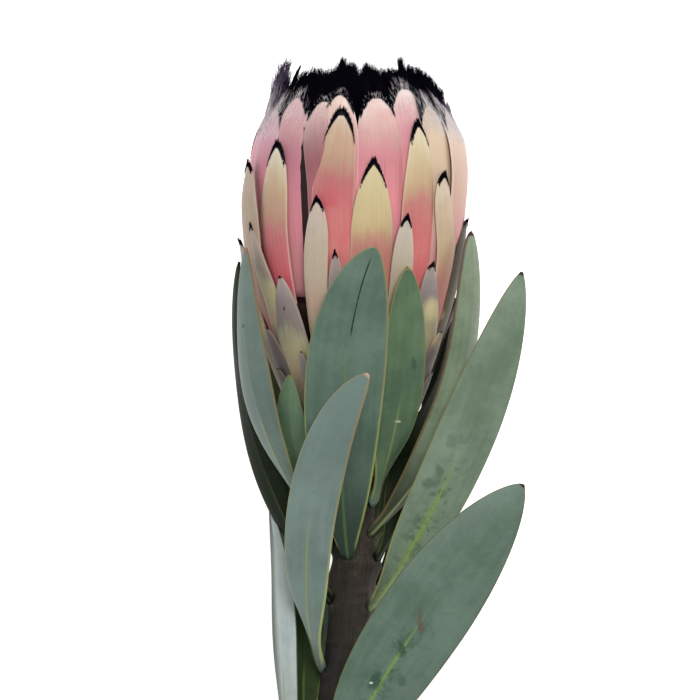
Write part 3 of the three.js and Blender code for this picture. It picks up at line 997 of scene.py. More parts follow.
@dataclass(frozen=True)
class Bract:
    """One bract of the spiral. Numbers grow downwards, and 0 is the highest of the cream ones."""

    number: int

    def by_group(self, inner: float, broad: float, small: float) -> float:
        """The value for the inner ring, the broad bracts or the small ones below them."""
        return inner if self.number < 0 else broad if self.number < BROAD_BRACTS else small

    @property
    def turn(self) -> float:
        """Its turn round the axis, in radians."""
        return math.radians(HEAD.first_turn + HEAD.spiral * self.number + STRAYS.get(self.number, (0, 0))[0])

    @property
    def tip(self) -> float:
        """The height of its tip.

        Returns:
            The height above the head's base, a little lower where hairs stand over it.
        """
        ruled = HEAD.inner_rise * (1 - math.exp(self.number / 8)) if self.number < 0 else -HEAD.tip_step * self.number
        hairs = TIP_HAIRS if 0 <= self.number <= LAST_BLACK else 0
        return HEAD.first_tip + ruled + STRAYS.get(self.number, (0, 0))[1] - hairs

    @property
    def width(self) -> float:
        """Its full width."""
        ruled = self.by_group(15.5, 14.8, 11.6)
        return WIDTHS.get(self.number, ruled - 0.15 * max(0, self.number - SMALL_BRACTS))

    @property
    def cream(self) -> float:
        """How far below its tip its first colour ends."""
        ruled = 19.0 + 1.2 * self.number if 0 <= self.number <= LAST_CREAM else 15.0
        return CREAMS.get(self.number, ruled)

    def half(self, below: Numbers) -> np.ndarray:
        """Half its width.

        Args:
            below: distance below its tip.

        Returns:
            The distance from its middle line to its margin.
        """
        taper = TAPERS.get(self.number, self.by_group(17, 27, 17))
        share = np.clip((np.asarray(below, float) + 0.06) / taper, 0, 1)
        return self.width / 2 * np.sin(np.pi / 2 * share) ** POINTS.get(self.number, 0.58)

    @property
    def fringe(self) -> float:
        """How far down its margins the black hairs go."""
        ruled = self.by_group(7.0, 7.0, 2.2 if self.number <= LAST_BLACK else 0.5)
        return FRINGES.get(self.number, ruled)

    def turn_at(self, below: Numbers, aside: Numbers) -> np.ndarray:
        """The turn of a place on it.

        Args:
            below: distance below its tip.
            aside: distance from its middle line.

        Returns:
            The turn in radians.
        """
        lean = math.radians(LEANS.get(self.number, 0)) * smooth(below, 0, 30)
        return self.turn + lean + aside / np.maximum(HEAD.radius(self.tip - np.asarray(below)), 6)


@dataclass
class Whorl:
    """A group of bracts that grow out of one cup.

    The cup runs between two heights, and lining lifts its rim. A bract starts at the height root, or lower where it
    would be under shortest long. The whorl lies extra_depth deeper than the spiral's rule, bow bends its bracts back
    at their margins, and so many hairs edge each of them.
    """

    node: str
    slot: str
    first: int
    last: int
    cup: tuple[float, float]
    root: float
    finish: BractFinish
    extra_depth: float
    rows: int = 46
    columns: int = 13
    shortest: float = 12.0
    thick: float = 1.0
    bow: float = 0.75
    lining: float = 0.0
    cup_sides: int = 96
    cup_cuts: int = 15
    cup_thick: float = 0.8
    hairs: int = 120
    seed: int = 1

    def bracts(self) -> list[Bract]:
        """The whorl's bracts, from the inside outwards."""
        return [Bract(number) for number in range(self.first, self.last + 1)]

    def depth(self, bract: Bract, height: Numbers) -> np.ndarray:
        """How deep a bract of this whorl lies at a height."""
        covered = self.extra_depth * (1 - 0.6 * smooth(height, 70, 100))
        return HEAD.depth(bract.number, height) + covered

    def mood(self, bract: Bract) -> np.ndarray:
        """Four seeded numbers from -1 to 1 that set a bract apart from its neighbours."""
        return np.random.default_rng([self.seed, bract.number + 100]).uniform(-1, 1, 4)

    def outside(self, bract: Bract, below: Numbers, aside: Numbers) -> np.ndarray:
        """The radius of a bract's outer face.

        Args:
            bract: the bract.
            below: distance below its tip.
            aside: distance from its middle line.

        Returns:
            The distance from the flower's axis.
        """
        wave, tilt, curl, _ = self.mood(bract)
        half = bract.half(np.maximum(below, 0))
        side = np.clip(aside / np.maximum(half, 0.8), -1, 1)
        height = bract.tip - below
        out = HEAD.radius(height) - self.depth(bract, height)
        out = out - self.bow * side**2 * np.minimum(1, half / 6) - 0.28 * side**8
        out = out + 0.14 * wave * np.sin(below / 7 + 3 * tilt) + 0.16 * tilt * side
        stands = LIFTS.get(bract.number, 0) * smooth(below, -2, 14) * (1 - smooth(below, 38, 55))
        nods = 0.3 + 0.15 * curl - NODS.get(bract.number, 0)
        return out + nods * np.exp(-np.maximum(below, 0) / 7) + stands

    def blade(self, bract: Bract) -> tuple[np.ndarray, dict[str, np.ndarray]]:
        """The outer and inner points of one bract, and what its vertices carry.

        Args:
            bract: the bract.

        Returns:
            The points, layer by row by column, and the marks.
        """
        root = max(self.cup[0], min(self.root, bract.tip - self.shortest))
        share = np.linspace(1, 0, self.rows)[:, None]
        side = np.sin(np.pi / 2 * np.linspace(-1, 1, self.columns))[None, :]
        below = (bract.tip - root) * share**1.7 + 0 * side
        half = bract.half(below)
        turn = bract.turn_at(below, side * half)
        out = self.outside(bract, below, side * half)
        thick = self.thick * (1 - 0.5 * np.exp(-below / 6)) * (1 - 0.68 * side**4)
        points = np.stack([
            pressed(around_axis(out, turn, bract.tip - below), BRACT_FACE, BRACT_EASE),
            pressed(around_axis(out - thick, turn, bract.tip - below), BRACT_BACK, BRACT_EASE),
        ])
        warmth, _, _, seed = self.mood(bract)
        # Painted shade, which on the inner bracts fades in below their tips
        painted_shade = PAINTED_SHADES.get(bract.number, 0.0) * (smooth(below, -6, 22) if bract.number < 0 else 1)
        marks = {
            "below": below, "side": side + 0 * below, "edge": half * (1 - np.abs(side)),
            "cream": bract.cream, "seed": (1 + seed) / 2, "tint": TINTS.get(bract.number, 0.4 * warmth),
            "fringe": bract.fringe, "painted_shade": painted_shade,
        }
        return points, {key: np.broadcast_to(value, out.shape) for key, value in marks.items()}

    def cup_wall(self, skin: Skin) -> None:
        """Adds the sheath that the bracts share low down, nearly black with painted shade for the dark inside of the
        head.

        Args:
            skin: the whorl's skin.
        """
        sides = self.cup_sides
        heights = np.linspace(self.cup[0], self.cup[1] + self.lining, self.cup_cuts)
        outer = HEAD.radius(heights) - self.depth(Bract(self.first), heights) - self.thick / 2
        inner = outer[::-1] - self.cup_thick
        profile = np.concatenate([np.stack([outer, heights], -1), np.stack([inner, heights[::-1]], -1)])
        turn = np.linspace(0, 2 * np.pi, sides, endpoint=False)[None, :]
        points = pressed(around_axis(profile[:, :1], turn, profile[:, 1:]), CUP_FACE, BRACT_EASE)
        faces = grid_faces(len(profile), sides, closed=True)
        last = (len(profile) - 1) * sides
        j, n = np.arange(sides), (np.arange(sides) + 1) % sides
        close = np.stack([last + j, last + n, n, j], axis=-1)
        # Painted shade: the wall is coloured nearly black where the inside of the head lies in shadow
        skin.add(
            points, np.concatenate([faces, close]), below=60.0, side=0.0, edge=3.0, cream=15.0, seed=0.5, tint=0.0,
            fringe=1.0, painted_shade=0.97,
        )

    def build(self) -> bpy.types.Object:
        """Makes the whorl's bracts and its cup.

        Returns:
            The finished piece.
        """
        skin = Skin()
        faces = blade_faces(self.rows, self.columns)
        for bract in self.bracts():
            points, marks = self.blade(bract)
            skin.add(points, faces, **marks)
        self.cup_wall(skin)
        piece = skin.build("skin_" + self.node, self.finish.material())
        return settle(piece, self.slot, self.node)


@dataclass
class Fringe:
    """Black hairs that edge the tips of a whorl's bracts."""

    whorl: Whorl
    finish: HairFinish
    seed: int = 21

    def length(self, bract: Bract) -> float:
        """The longest hair at a bract's tip."""
        return bract.by_group(6.5, 1.7, 1.2 if bract.number <= LAST_BLACK else 0.5)

    def strands(self, bract: Bract, draw: np.random.Generator, hairs: Strands) -> None:
        """Adds one bract's hairs.

        Args:
            bract: the bract that they edge.
            draw: the fringe's random numbers.
            hairs: where they are gathered.
        """
        count, long = self.whorl.hairs, self.length(bract)
        way, width = draw.choice([-1.0, 1.0], (count, 1)), draw.uniform(0, 1, (count, 1))
        share = draw.uniform(0, 1, (count, 1)) ** 1.6
        lean = way * np.radians(draw.uniform(0, 15 if bract.number < 0 else 34, (count, 1)))
        reach = long * (1 - 0.85 * share) * draw.uniform(0.65, 1.1, (count, 1))
        f = np.linspace(0, 1, 4)[None, :]
        sunk = 0.2 + 1.1 * width * (1 - 0.75 * share)
        root = bract.fringe * share + min(long, 2.4) * 0.45 * width
        below = root - reach * np.cos(lean) * (f - 0.15)
        aside = way * (bract.half(root) - sunk).clip(0) + reach * np.sin(lean) * (f - 0.4 * f**2)
        out = self.whorl.outside(bract, below, aside) + 0.16 + draw.uniform(0.0, 0.25, (count, 1)) * np.sin(np.pi * f)
        lines = pressed(around_axis(out, bract.turn_at(below, aside), bract.tip - below), HAIR_FACE, HAIR_EASE)
        thick = draw.uniform(0.05, 0.09, count) if bract.number < 0 else draw.uniform(0.07, 0.12, count)
        hairs.add(lines, thick, draw.uniform(0.0, 0.1, (count, 1)))

    def build(self) -> bpy.types.Object:
        """Makes the hairs of all the whorl's bracts.

        Returns:
            The finished piece.
        """
        draw = np.random.default_rng(self.seed)
        hairs = Strands()
        for bract in self.whorl.bracts():
            if bract.number <= LAST_FRINGED:
                self.strands(bract, draw, hairs)
        piece = hairs.grow("fringe_" + self.whorl.node, self.finish.material())
        return settle(piece, "black_hair")


@dataclass(frozen=True)
class Lock:
    """A lock of hair from a root to a point, both as radius, turn in degrees and height.

    Its hairs start within spread and end within loose, at a share of the way from least on. They pale by fade.
    """

    root: Point
    tip: Point
    tone: float = 0.03
    strands: int = 220
    spread: float = 3.6
    loose: float = 1.2
    least: float = 0.82
    fade: float = 0.0


@dataclass
class Crown:
    """The black beard: rings of locks that stand up from the inner bracts and lean inwards.

    A ring has a number of locks, the radius and height of their roots, and the radius and height of their points.
    """

    finish: HairFinish
    seed: int = 5
    rings: tuple[tuple[int, float, float, float, float], ...] = (
        (34, 21.6, 112.0, 16.4, 124.6), (22, 16.5, 112.5, 11.5, 126.0), (14, 9.5, 113.0, 5.5, 126.6),
    )
    strays: tuple[Lock, ...] = (
        Lock((26.0, -80, 106), (24.0, -80, 123.0), 0.75, 130, 1.8, 1.6, 0.7, 0.2),
        Lock((25.2, -82, 108), (22.4, -78, 128.4), 0.36, 190, 2.8, 2.2, 0.66, 0.5),
        Lock((24.8, -76, 109), (20.6, -76, 129.6), 0.30, 150, 2.4, 1.2, 0.7, 0.45),
        Lock((23.8, -74, 111), (21.4, -75, 125.0), 0.12, 200, 2.6, 1.6, 0.7, 0.3),
        Lock((20.6, -74, 118), (16.5, -84, 127.9), 0.02, 70, 1.0, 0.35, 0.8),
        Lock((12.0, -20, 114), (9.0, -22, 130.0), 0.02, 200, 3.6, 1.5),
        Lock((12.0, -10, 114), (8.0, -4, 128.6), 0.02, 200, 3.6, 2.0),
        Lock((14.0, 20, 114), (9.5, 24, 128.2), 0.02, 200, 3.6, 2.0),
        Lock((19.0, 54, 113), (15.8, 66, 130.2), 0.02, 160, 3.2, 1.0),
        Lock((19.5, 62, 113), (17.8, 74, 127.8), 0.02, 200, 3.2, 1.5),
        Lock((20.5, 66, 113), (20.4, 72, 127.0), 0.03, 200, 3.2, 1.5),
        Lock((23.0, 68, 112), (22.6, 71, 125.9), 0.03, 200, 3.2, 1.4),
        Lock((24.4, 73, 111), (24.4, 73, 124.2), 0.04, 200, 3.0, 1.3),
        Lock((26.2, 76, 109), (26.0, 76, 122.2), 0.05, 170, 2.6, 1.1, 0.75, 0.2),
        Lock((27.6, 78, 107), (27.4, 78, 120.4), 0.08, 130, 2.0, 0.9, 0.75, 0.45),
        Lock((30.2, 80, 104), (29.2, 80, 116.6), 0.45, 90, 1.8, 0.9, 0.7, 0.4),
        Lock((32.0, 82, 101), (31.0, 82, 111.6), 0.70, 50, 1.4, 0.8, 0.7, 0.2),
    )
    felt_tone: float = 0.02
    felt_sides: int = 72
    felt_profile: tuple[tuple[float, float], ...] = (
        (0.1, 117.2), (8, 116.5), (15, 114.0), (19.5, 110.5), (21.2, 106.0), (22.0, 104.0), (23.4, 105.0),
        (23.2, 109.0), (21, 113.5), (17, 117.0), (12, 119.2), (6, 120.3), (0.1, 120.5),
    )

    def locks(self, draw: np.random.Generator) -> list[Lock]:
        """The locks of all rings and the ones that stray.

        Args:
            draw: the crown's random numbers.

        Returns:
            The locks, ring by ring.
        """
        made = []
        for count, foot, low, reach, top in self.rings:
            for n in range(count):
                turn = 360 * (n + draw.uniform(-0.2, 0.2)) / count
                tip = (reach + draw.uniform(-1.8, 1.8), turn + draw.uniform(-14, 14), top + draw.uniform(-1.6, 1.5))
                made.append(Lock((foot, turn, low), tip, strands=150, spread=3.8, loose=2.2, least=0.72))
        return made + list(self.strays)

    def strands(self, lock: Lock, draw: np.random.Generator, hairs: Strands) -> None:
        """Adds one lock's hairs.

        Args:
            lock: the lock.
            draw: the crown's random numbers.
            hairs: where they are gathered.
        """
        count = lock.strands
        root, tip = (around_axis(r, math.radians(a), h) for r, a, h in (lock.root, lock.tip))
        foot = root + draw.normal(0, lock.spread / 2, (count, 3)) * (1, 0.5, 1)
        end = tip + draw.normal(0, lock.loose / 2, (count, 3)) * (1, 0.6, 1)
        end = lerp(foot, end, draw.uniform(lock.least, 1.03, (count, 1)))
        sideways = np.array([1.0, 0.0, 1.0])
        bulge = unit(((foot + end) / 2) * sideways) * draw.uniform(0.2, 1.4, (count, 1))
        belly = lerp(foot, end, 0.5) + bulge + draw.normal(0, 0.35, (count, 3))
        lines = bezier([foot, belly, end], np.linspace(0, 1, 5))
        tone = lock.tone + draw.uniform(0, 0.06, (count, 1)) + lock.fade * np.linspace(1, 0, 5)
        hairs.add(lines, draw.uniform(0.11, 0.19, count), tone)

    def build(self) -> list[bpy.types.Object]:
        """Makes the locks in two pieces, and the felt that they stand on.

        Returns:
            The finished pieces.
        """
        draw = np.random.default_rng(self.seed)
        groups = (Strands(), Strands())
        for number, lock in enumerate(self.locks(draw)):
            self.strands(lock, draw, groups[number % 2])
        material = self.finish.material()
        front = groups[0].grow("beard_locks_even", material, point=0.3)
        back = groups[1].grow("beard_locks_odd", material, point=0.3)
        return [settle(front, "black_hair", "beard"), settle(back, "black_hair", "beard"), self.felt(material)]

    def felt(self, material: bpy.types.Material) -> bpy.types.Object:
        """The matted bed of hair that closes the mouth of the head.

        Args:
            material: the finish of the hair.

        Returns:
            The finished piece.
        """
        sides, profile = self.felt_sides, np.array(self.felt_profile)
        turn = np.linspace(0, 2 * np.pi, sides, endpoint=False)[None, :]
        ripple = 1 + 0.02 * np.sin(9 * turn) + 0.015 * np.sin(17 * turn + 1)
        points = around_axis(profile[:, :1] * ripple, turn, profile[:, 1:])
        skin = Skin()
        skin.add(points, grid_faces(len(profile), sides, closed=True), tone=self.felt_tone)
        for row, way in ((0, -1), (len(profile) - 1, 1)):
            fan = fan_faces(sides, row * sides - skin.count, 0)[:, ::way]
            skin.add(np.array([[0.0, profile[row, 1], 0.0]]), fan, tone=self.felt_tone)
        return settle(skin.build("beard_felt", material), "black_hair", "beard")


@dataclass
class Silk:
    """White silky hairs on the tips of the innermost bracts."""

    whorl: Whorl
    finish: HairFinish
    hairs: int = 400
    seed: int = 31

    def build(self) -> bpy.types.Object:
        """Makes the hairs of all the whorl's bracts, longer and denser at the head's flanks.

        Returns:
            The finished piece.
        """
        draw = np.random.default_rng(self.seed)
        hairs = Strands()
        f = np.linspace(0, 1, 4)[None, :]
        for bract in self.whorl.bracts():
            flank = abs(math.sin(bract.turn))
            count = int(self.hairs * (0.25 + 1.7 * flank**3))
            below = 0.6 + (5.0 + 7.0 * flank) * draw.uniform(0, 1, (count, 1)) ** 1.3
            side = draw.uniform(-1, 1, (count, 1))
            long = draw.uniform(0.6, 1.4 + 6.6 * flank**3, (count, 1))
            lean = np.radians(draw.normal(0, 6, (count, 1)) + side * 8)
            aside = side * bract.half(below) + long * np.sin(lean) * f
            below = below - long * np.cos(lean) * f
            out = self.whorl.outside(bract, below, aside) + 0.05 + draw.uniform(0.1, 0.9, (count, 1)) * f
            lines = around_axis(out, bract.turn_at(below, aside), bract.tip - below)
            tone = draw.uniform(0.75, 1.0, (count, 1)) - 0.5 * np.maximum(0, f - 0.5)
            hairs.add(lines, draw.uniform(0.025, 0.05, count), tone)
        return settle(hairs.grow("silk_" + self.whorl.node, self.finish.material()), "florets")


@dataclass
class Florets:
    """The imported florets, whose woolly tips make a low dome under the beard."""

    finish: HairFinish
    tips: int = 420
    rim: float = 19.5
    rim_height: float = 107.0
    seed: int = 11

    def build(self) -> bpy.types.Object:
        """Makes the florets' tips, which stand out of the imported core.

        Returns:
            The finished piece.
        """
        draw = np.random.default_rng(self.seed)
        n = np.arange(self.tips)
        radius = self.rim * np.sqrt((n + 0.5) / self.tips)
        turn = np.radians(HEAD.spiral * n)
        base = self.rim_height + 4 - 3 * (radius / self.rim) ** 2
        lift = draw.uniform(5.0, 8.0, self.tips)
        foot = around_axis(radius, turn, base - 3)
        belly = around_axis(radius, turn, base + 0.6 * lift)
        end = around_axis(radius * 0.86, turn, base + lift)
        hairs = Strands()
        tone = draw.uniform(0.45, 0.8, (self.tips, 1)) + 0.2 * np.linspace(0, 1, 5)
        hairs.add(bezier([foot, belly, end], np.linspace(0, 1, 5)), draw.uniform(0.45, 0.65, self.tips), tone)
        return settle(hairs.grow("floret_tips", self.finish.material(), 5, 0.15, 2.4), "florets")


# The stem


@dataclass
class Stem:
    """The woody stem, cut at a slant, with the scars and seats of its leaves.

    Each ring round it and each swelling has a height, a turn in degrees and a size.
    """

    finish: BarkFinish
    seats: Sequence[tuple[float, float]] = ()
    radius: float = 7.0
    lean: float = 12.0
    straight: float = 25.0
    slant: float = 3.5
    rings: tuple[tuple[float, float, float], ...] = (
        (-23.5, 20, 0.35), (-36.5, 60, 0.5), (-39.5, 10, 0.35), (-52, -20, 0.4), (-66, 80, 0.45), (-79, -60, 0.5),
        (-96, 140, 0.45), (-108, 10, 0.4),
    )
    swellings: tuple[tuple[float, float, float], ...] = (
        (-27.5, 84, 1.5), (-31, -92, 1.3), (-44, 20, 0.5), (-56, -30, 0.5),
    )
    rows: int = 130
    sides: int = 60
    pith: float = 0.7

    def middle(self, height: Numbers) -> np.ndarray:
        """Where the stem's middle lies sideways at a height."""
        share = np.maximum(0, -np.asarray(height, float) - self.straight) / (STEM_LENGTH - self.straight)
        return -self.lean * share**1.5

    def radius_at(self, height: Numbers) -> np.ndarray:
        """The stem thins upwards and flares into the head."""
        return self.radius - 0.4 * smooth(height, -60, -20) + 0.8 * smooth(height, -12, 0)

    def relief(self, height: np.ndarray, turn: np.ndarray) -> np.ndarray:
        """How far the bark stands out: ridges, leaf scars, swellings and the seats of the leaves.

        Args:
            height: heights on the stem.
            turn: angles round it, in radians.

        Returns:
            The distance that the bark adds to its radius.
        """
        out = 0.12 * np.sin(7 * turn + height * 0.11) + 0.1 * np.sin(12 * turn - height * 0.07 + 2)
        out = out + 0.16 * np.sin(height * 0.23 + 2 * np.sin(turn)) - 0.12
        for at, facing, size in self.rings:
            near = 0.35 + 0.65 * np.cos(turn - math.radians(facing)).clip(0, 1)
            tilt = 1.3 * np.cos(turn - math.radians(facing))
            out = out + size * near * np.exp(-(((height - at - tilt) / 0.9) ** 2))
        lumps = [(at, facing, 1.1, 1.8, 2.9, 1.9) for at, facing in self.seats]
        lumps += [(at, facing, size, 0.0, 4.0, 4.5) for at, facing, size in self.swellings]
        for at, facing, size, under, wide, high in lumps:
            apart = np.angle(np.exp(1j * (turn - math.radians(facing)))) * self.radius
            out = out + size * np.exp(-((apart / wide) ** 2) - ((height - at + under) / high) ** 2)
        return out

    def build(self) -> bpy.types.Object:
        """Makes the stem from its cut end to the head.

        Returns:
            The finished piece.
        """
        rows, sides = self.rows, self.sides
        height = np.linspace(-STEM_LENGTH, 0.25, rows)[:, None]
        turn = -2 * np.pi * np.arange(sides)[None, :] / sides
        radius = self.radius_at(height) + self.relief(height, turn) * smooth(height, -STEM_LENGTH, -STEM_LENGTH + 2)
        slanted = 1 - smooth(height, -STEM_LENGTH, -STEM_LENGTH + 20)
        points = around_axis(radius, turn, height + self.slant * np.sin(turn) * slanted)
        points[..., 0] += self.middle(height)
        skin = Skin()
        faces = grid_faces(rows, sides, closed=True)[:, ::-1]
        spin = np.sin(turn * 0.5) * 6 + 0 * height
        skin.add(points, faces, along=height + 0 * turn, turn=spin, cut=0.0)
        self.end(skin, points[0], True)
        self.end(skin, points[-1], False)
        return settle(skin.build("bark", self.finish.material()), "stem_bark", "stem")

    def end(self, skin: Skin, rim: np.ndarray, is_cut: bool) -> None:
        """Closes one end with its own rings of points, which sink a little at the pith of the cut.

        Args:
            skin: the stem's skin.
            rim: the ring of points that is closed.
            is_cut: whether it is the cut end.
        """
        sides, way = len(rim), 1 if is_cut else -1
        centre = rim.mean(axis=0)
        shares = np.array([1.0, 0.93, 0.6, 0.3, 0.12])[:, None, None]
        dish = np.array([0, 0.15, 0.0, 0.1, self.pith])[:, None, None] * is_cut
        points = centre + (rim - centre)[None] * shares + np.array([0, 1, 0]) * dish
        pole = centre[None] + np.array([[0, self.pith, 0]]) * is_cut
        rings, first = len(shares), skin.count
        turn = np.append(np.tile(np.arange(sides) / sides * 6, rings), 0)
        quads = grid_faces(rings, sides, closed=True)[:, ::way]
        fan = fan_faces(sides, (rings - 1) * sides, rings * sides)[:, ::way]
        whole = np.concatenate([points.reshape(-1, 3), pole])
        skin.add(whole, quads, along=float(rim[0, 1]), turn=turn, cut=float(is_cut))
        skin.faces.extend((fan + first).tolist())


# The leaves


# Shares of the way from a leaf's middle line to its margin, closest at the rib and at the edge
HALF_ACROSS = np.array([0, 0.035, 0.09, 0.18, 0.32, 0.48, 0.64, 0.79, 0.9, 0.965, 1.0])


@dataclass(frozen=True)
class Leaf:
    """One leaf: its foot as height and turn on the stem, two guides and its tip, and the way it faces.

    Low down it faces low_face, where it has one. Cup is how much its margins bend back and wave how much they
    ripple. Base is how slowly it widens from its foot, and a lower blunt gives it a rounder end.
    """

    node: str
    wax: Wax
    foot: tuple[float, float]
    guides: tuple[Point, Point]
    tip: Point
    width: float
    face: Point
    cup: float
    low_face: Optional[Point] = None
    finish: Optional[LeafFinish] = None
    base: float = 1.15
    blunt: float = 0.7
    wave: float = 0.3
    thick: float = 0.8
    foot_thick: float = 1.7
    foot_width: float = 4.0
    foot_share: float = 0.012
    widest_at: float = 0.6
    tip_width: float = 0.45
    rib_height: float = 0.2
    rows: int = 84

    def guide_points(self, stem: Stem) -> tuple[np.ndarray, np.ndarray]:
        """Where the leaf starts and what its middle line follows.

        Args:
            stem: the stem that it grows from.

        Returns:
            The way the foot faces, and the line's four guide points.
        """
        height, turn = self.foot
        outwards = around_axis(1.0, math.radians(turn), 0.0)
        core = np.array([float(stem.middle(height)), height, 0.0])
        leaving = unit(np.array(self.guides[0]) - core - outwards * stem.radius)
        seat = float(stem.radius_at(height)) + LEAF_GAP + leaving[1] * self.foot_thick / 2
        return outwards, np.array([core + outwards * seat, *self.guides, self.tip])

    def middle(self, stem: Stem, t: np.ndarray, s: np.ndarray) -> np.ndarray:
        """Points half way through the leaf.

        Args:
            stem: the stem that it grows from.
            t: shares along it, a column.
            s: shares across it, a row from -1 to 1.

        Returns:
            The points, by row and column.
        """
        outwards, guides = self.guide_points(stem)
        t, s = np.broadcast_arrays(t, s)
        centre = bezier(guides, t.ravel()).reshape(*t.shape, 3)
        step = 1e-4
        along = unit((bezier(guides, t.ravel() + step) - bezier(guides, t.ravel() - step)).reshape(*t.shape, 3))
        looks = unit(np.array(self.face, float))
        low = unit(np.array(self.low_face, float)) if self.low_face else looks
        look = lerp(outwards, low, smooth(t, 0.1, 0.4)[..., None])
        look = lerp(look, looks, smooth(t, 0.4, 0.9)[..., None])
        across = unit(np.cross(along, look))
        out = unit(np.cross(across, along))
        half = self.half(t)[..., None]
        phase = sum(map(ord, self.node)) % 7
        ripple = self.wave * np.sin(t * 13 + phase + 1.5 * (s > 0)) * smooth(t, 0.15, 0.5) * s**2
        points = centre + across * half * s[..., None] - out * (self.cup * half * (s**2)[..., None])
        return pressed(points + out * ripple[..., None], self.thick / 2 + LEAF_FACE, LEAF_EASE)

    def half(self, t: np.ndarray) -> np.ndarray:
        """Half the leaf's width: a long taper from the foot and a blunt, oval end.

        Args:
            t: shares along it.

        Returns:
            The distances from its middle line to its margin.
        """
        widest = self.widest_at
        end = np.maximum(0, 1 - ((t - widest) / (1 - widest)) ** 2) ** self.blunt
        rise = np.sin(np.pi / 2 * np.clip(t, 0, widest) / widest) ** self.base
        spread = np.where(t > widest, end, rise)
        rounding = np.sqrt(1 - (1 - np.clip((t + self.foot_share) / 0.04, 0, 1)) ** 2)
        foot = self.foot_width * (1 - smooth(t, 0, 0.22)) * (0.3 + 0.7 * rounding)
        return np.maximum(np.hypot(foot * (t < widest), self.width * spread), self.tip_width) / 2

    def build(self, stem: Stem) -> bpy.types.Object:
        """Makes the leaf.

        Args:
            stem: the stem that it grows from.

        Returns:
            The finished piece.
        """
        s = np.concatenate([-HALF_ACROSS[:0:-1], HALF_ACROSS])[None, :]
        t = 1 - (1 - np.linspace(0, 1, self.rows)[:, None]) ** 1.6
        t = t - self.foot_share * (1 - smooth(t, 0, 0.03))
        step = 1e-3
        centre = self.middle(stem, t, s)
        along = self.middle(stem, np.minimum(1, t + step), s) - self.middle(stem, t - step, s)
        across = self.middle(stem, t, np.minimum(1, s + 0.05)) - self.middle(stem, t, np.maximum(-1, s - 0.05))
        normal = unit(np.cross(across, along))
        half = self.half(t)
        past_foot = smooth(t, 0, 0.12)
        thick = self.thick + (self.foot_thick - self.thick) * (1 - past_foot) - 0.35 * np.abs(s) ** 6 * past_foot
        rib = self.rib_height * np.exp(-((half * s / 0.75) ** 2)) * (1 - 0.75 * smooth(t, 0.25, 0.9)) * past_foot
        outer = centre + normal * (thick / 2 + rib)[..., None]
        inner = centre - normal * (thick / 2 + 0.3 * rib)[..., None]
        line = bezier(self.guide_points(stem)[1], np.linspace(0, 1, 60))
        length = float(np.linalg.norm(np.diff(line, axis=0), axis=1).sum())
        marks = {
            "along": t + 0 * s, "across": half * s, "edge": half * (1 - np.abs(s)), "to_tip": (1 - t) * length + 0 * s,
        }
        skin = Skin()
        doubled = {key: np.stack([value, value]) for key, value in marks.items()}
        skin.add(np.stack([outer, inner]), blade_faces(self.rows, s.size), **doubled)
        finish = self.finish or WAX_FINISHES[self.wax]
        return settle(skin.build("skin_" + self.node, finish.material(self.node)), self.wax.value, self.node)


# The finishes of leaves that have none of their own
WAX_FINISHES = {
    Wax.BLUE_GREEN: LeafFinish("#6f8678", "#53695c", "#3c4a3c"),
    Wax.PALE: LeafFinish("#8b9c95", "#6b7f79", "#5d6b60"),
    Wax.GREEN: LeafFinish("#6b8062", "#4f6549", "#3b4a36"),
    # Painted shade: the dark kind is a near-black green for leaves that lie in shadow
    Wax.DARK: LeafFinish("#202b1a", "#131c10", "#10160d", margin_high="#2c2a1c", margin_low="#4a4f2c", rib="#3c4a2a",
                         gloss=0.05),
}

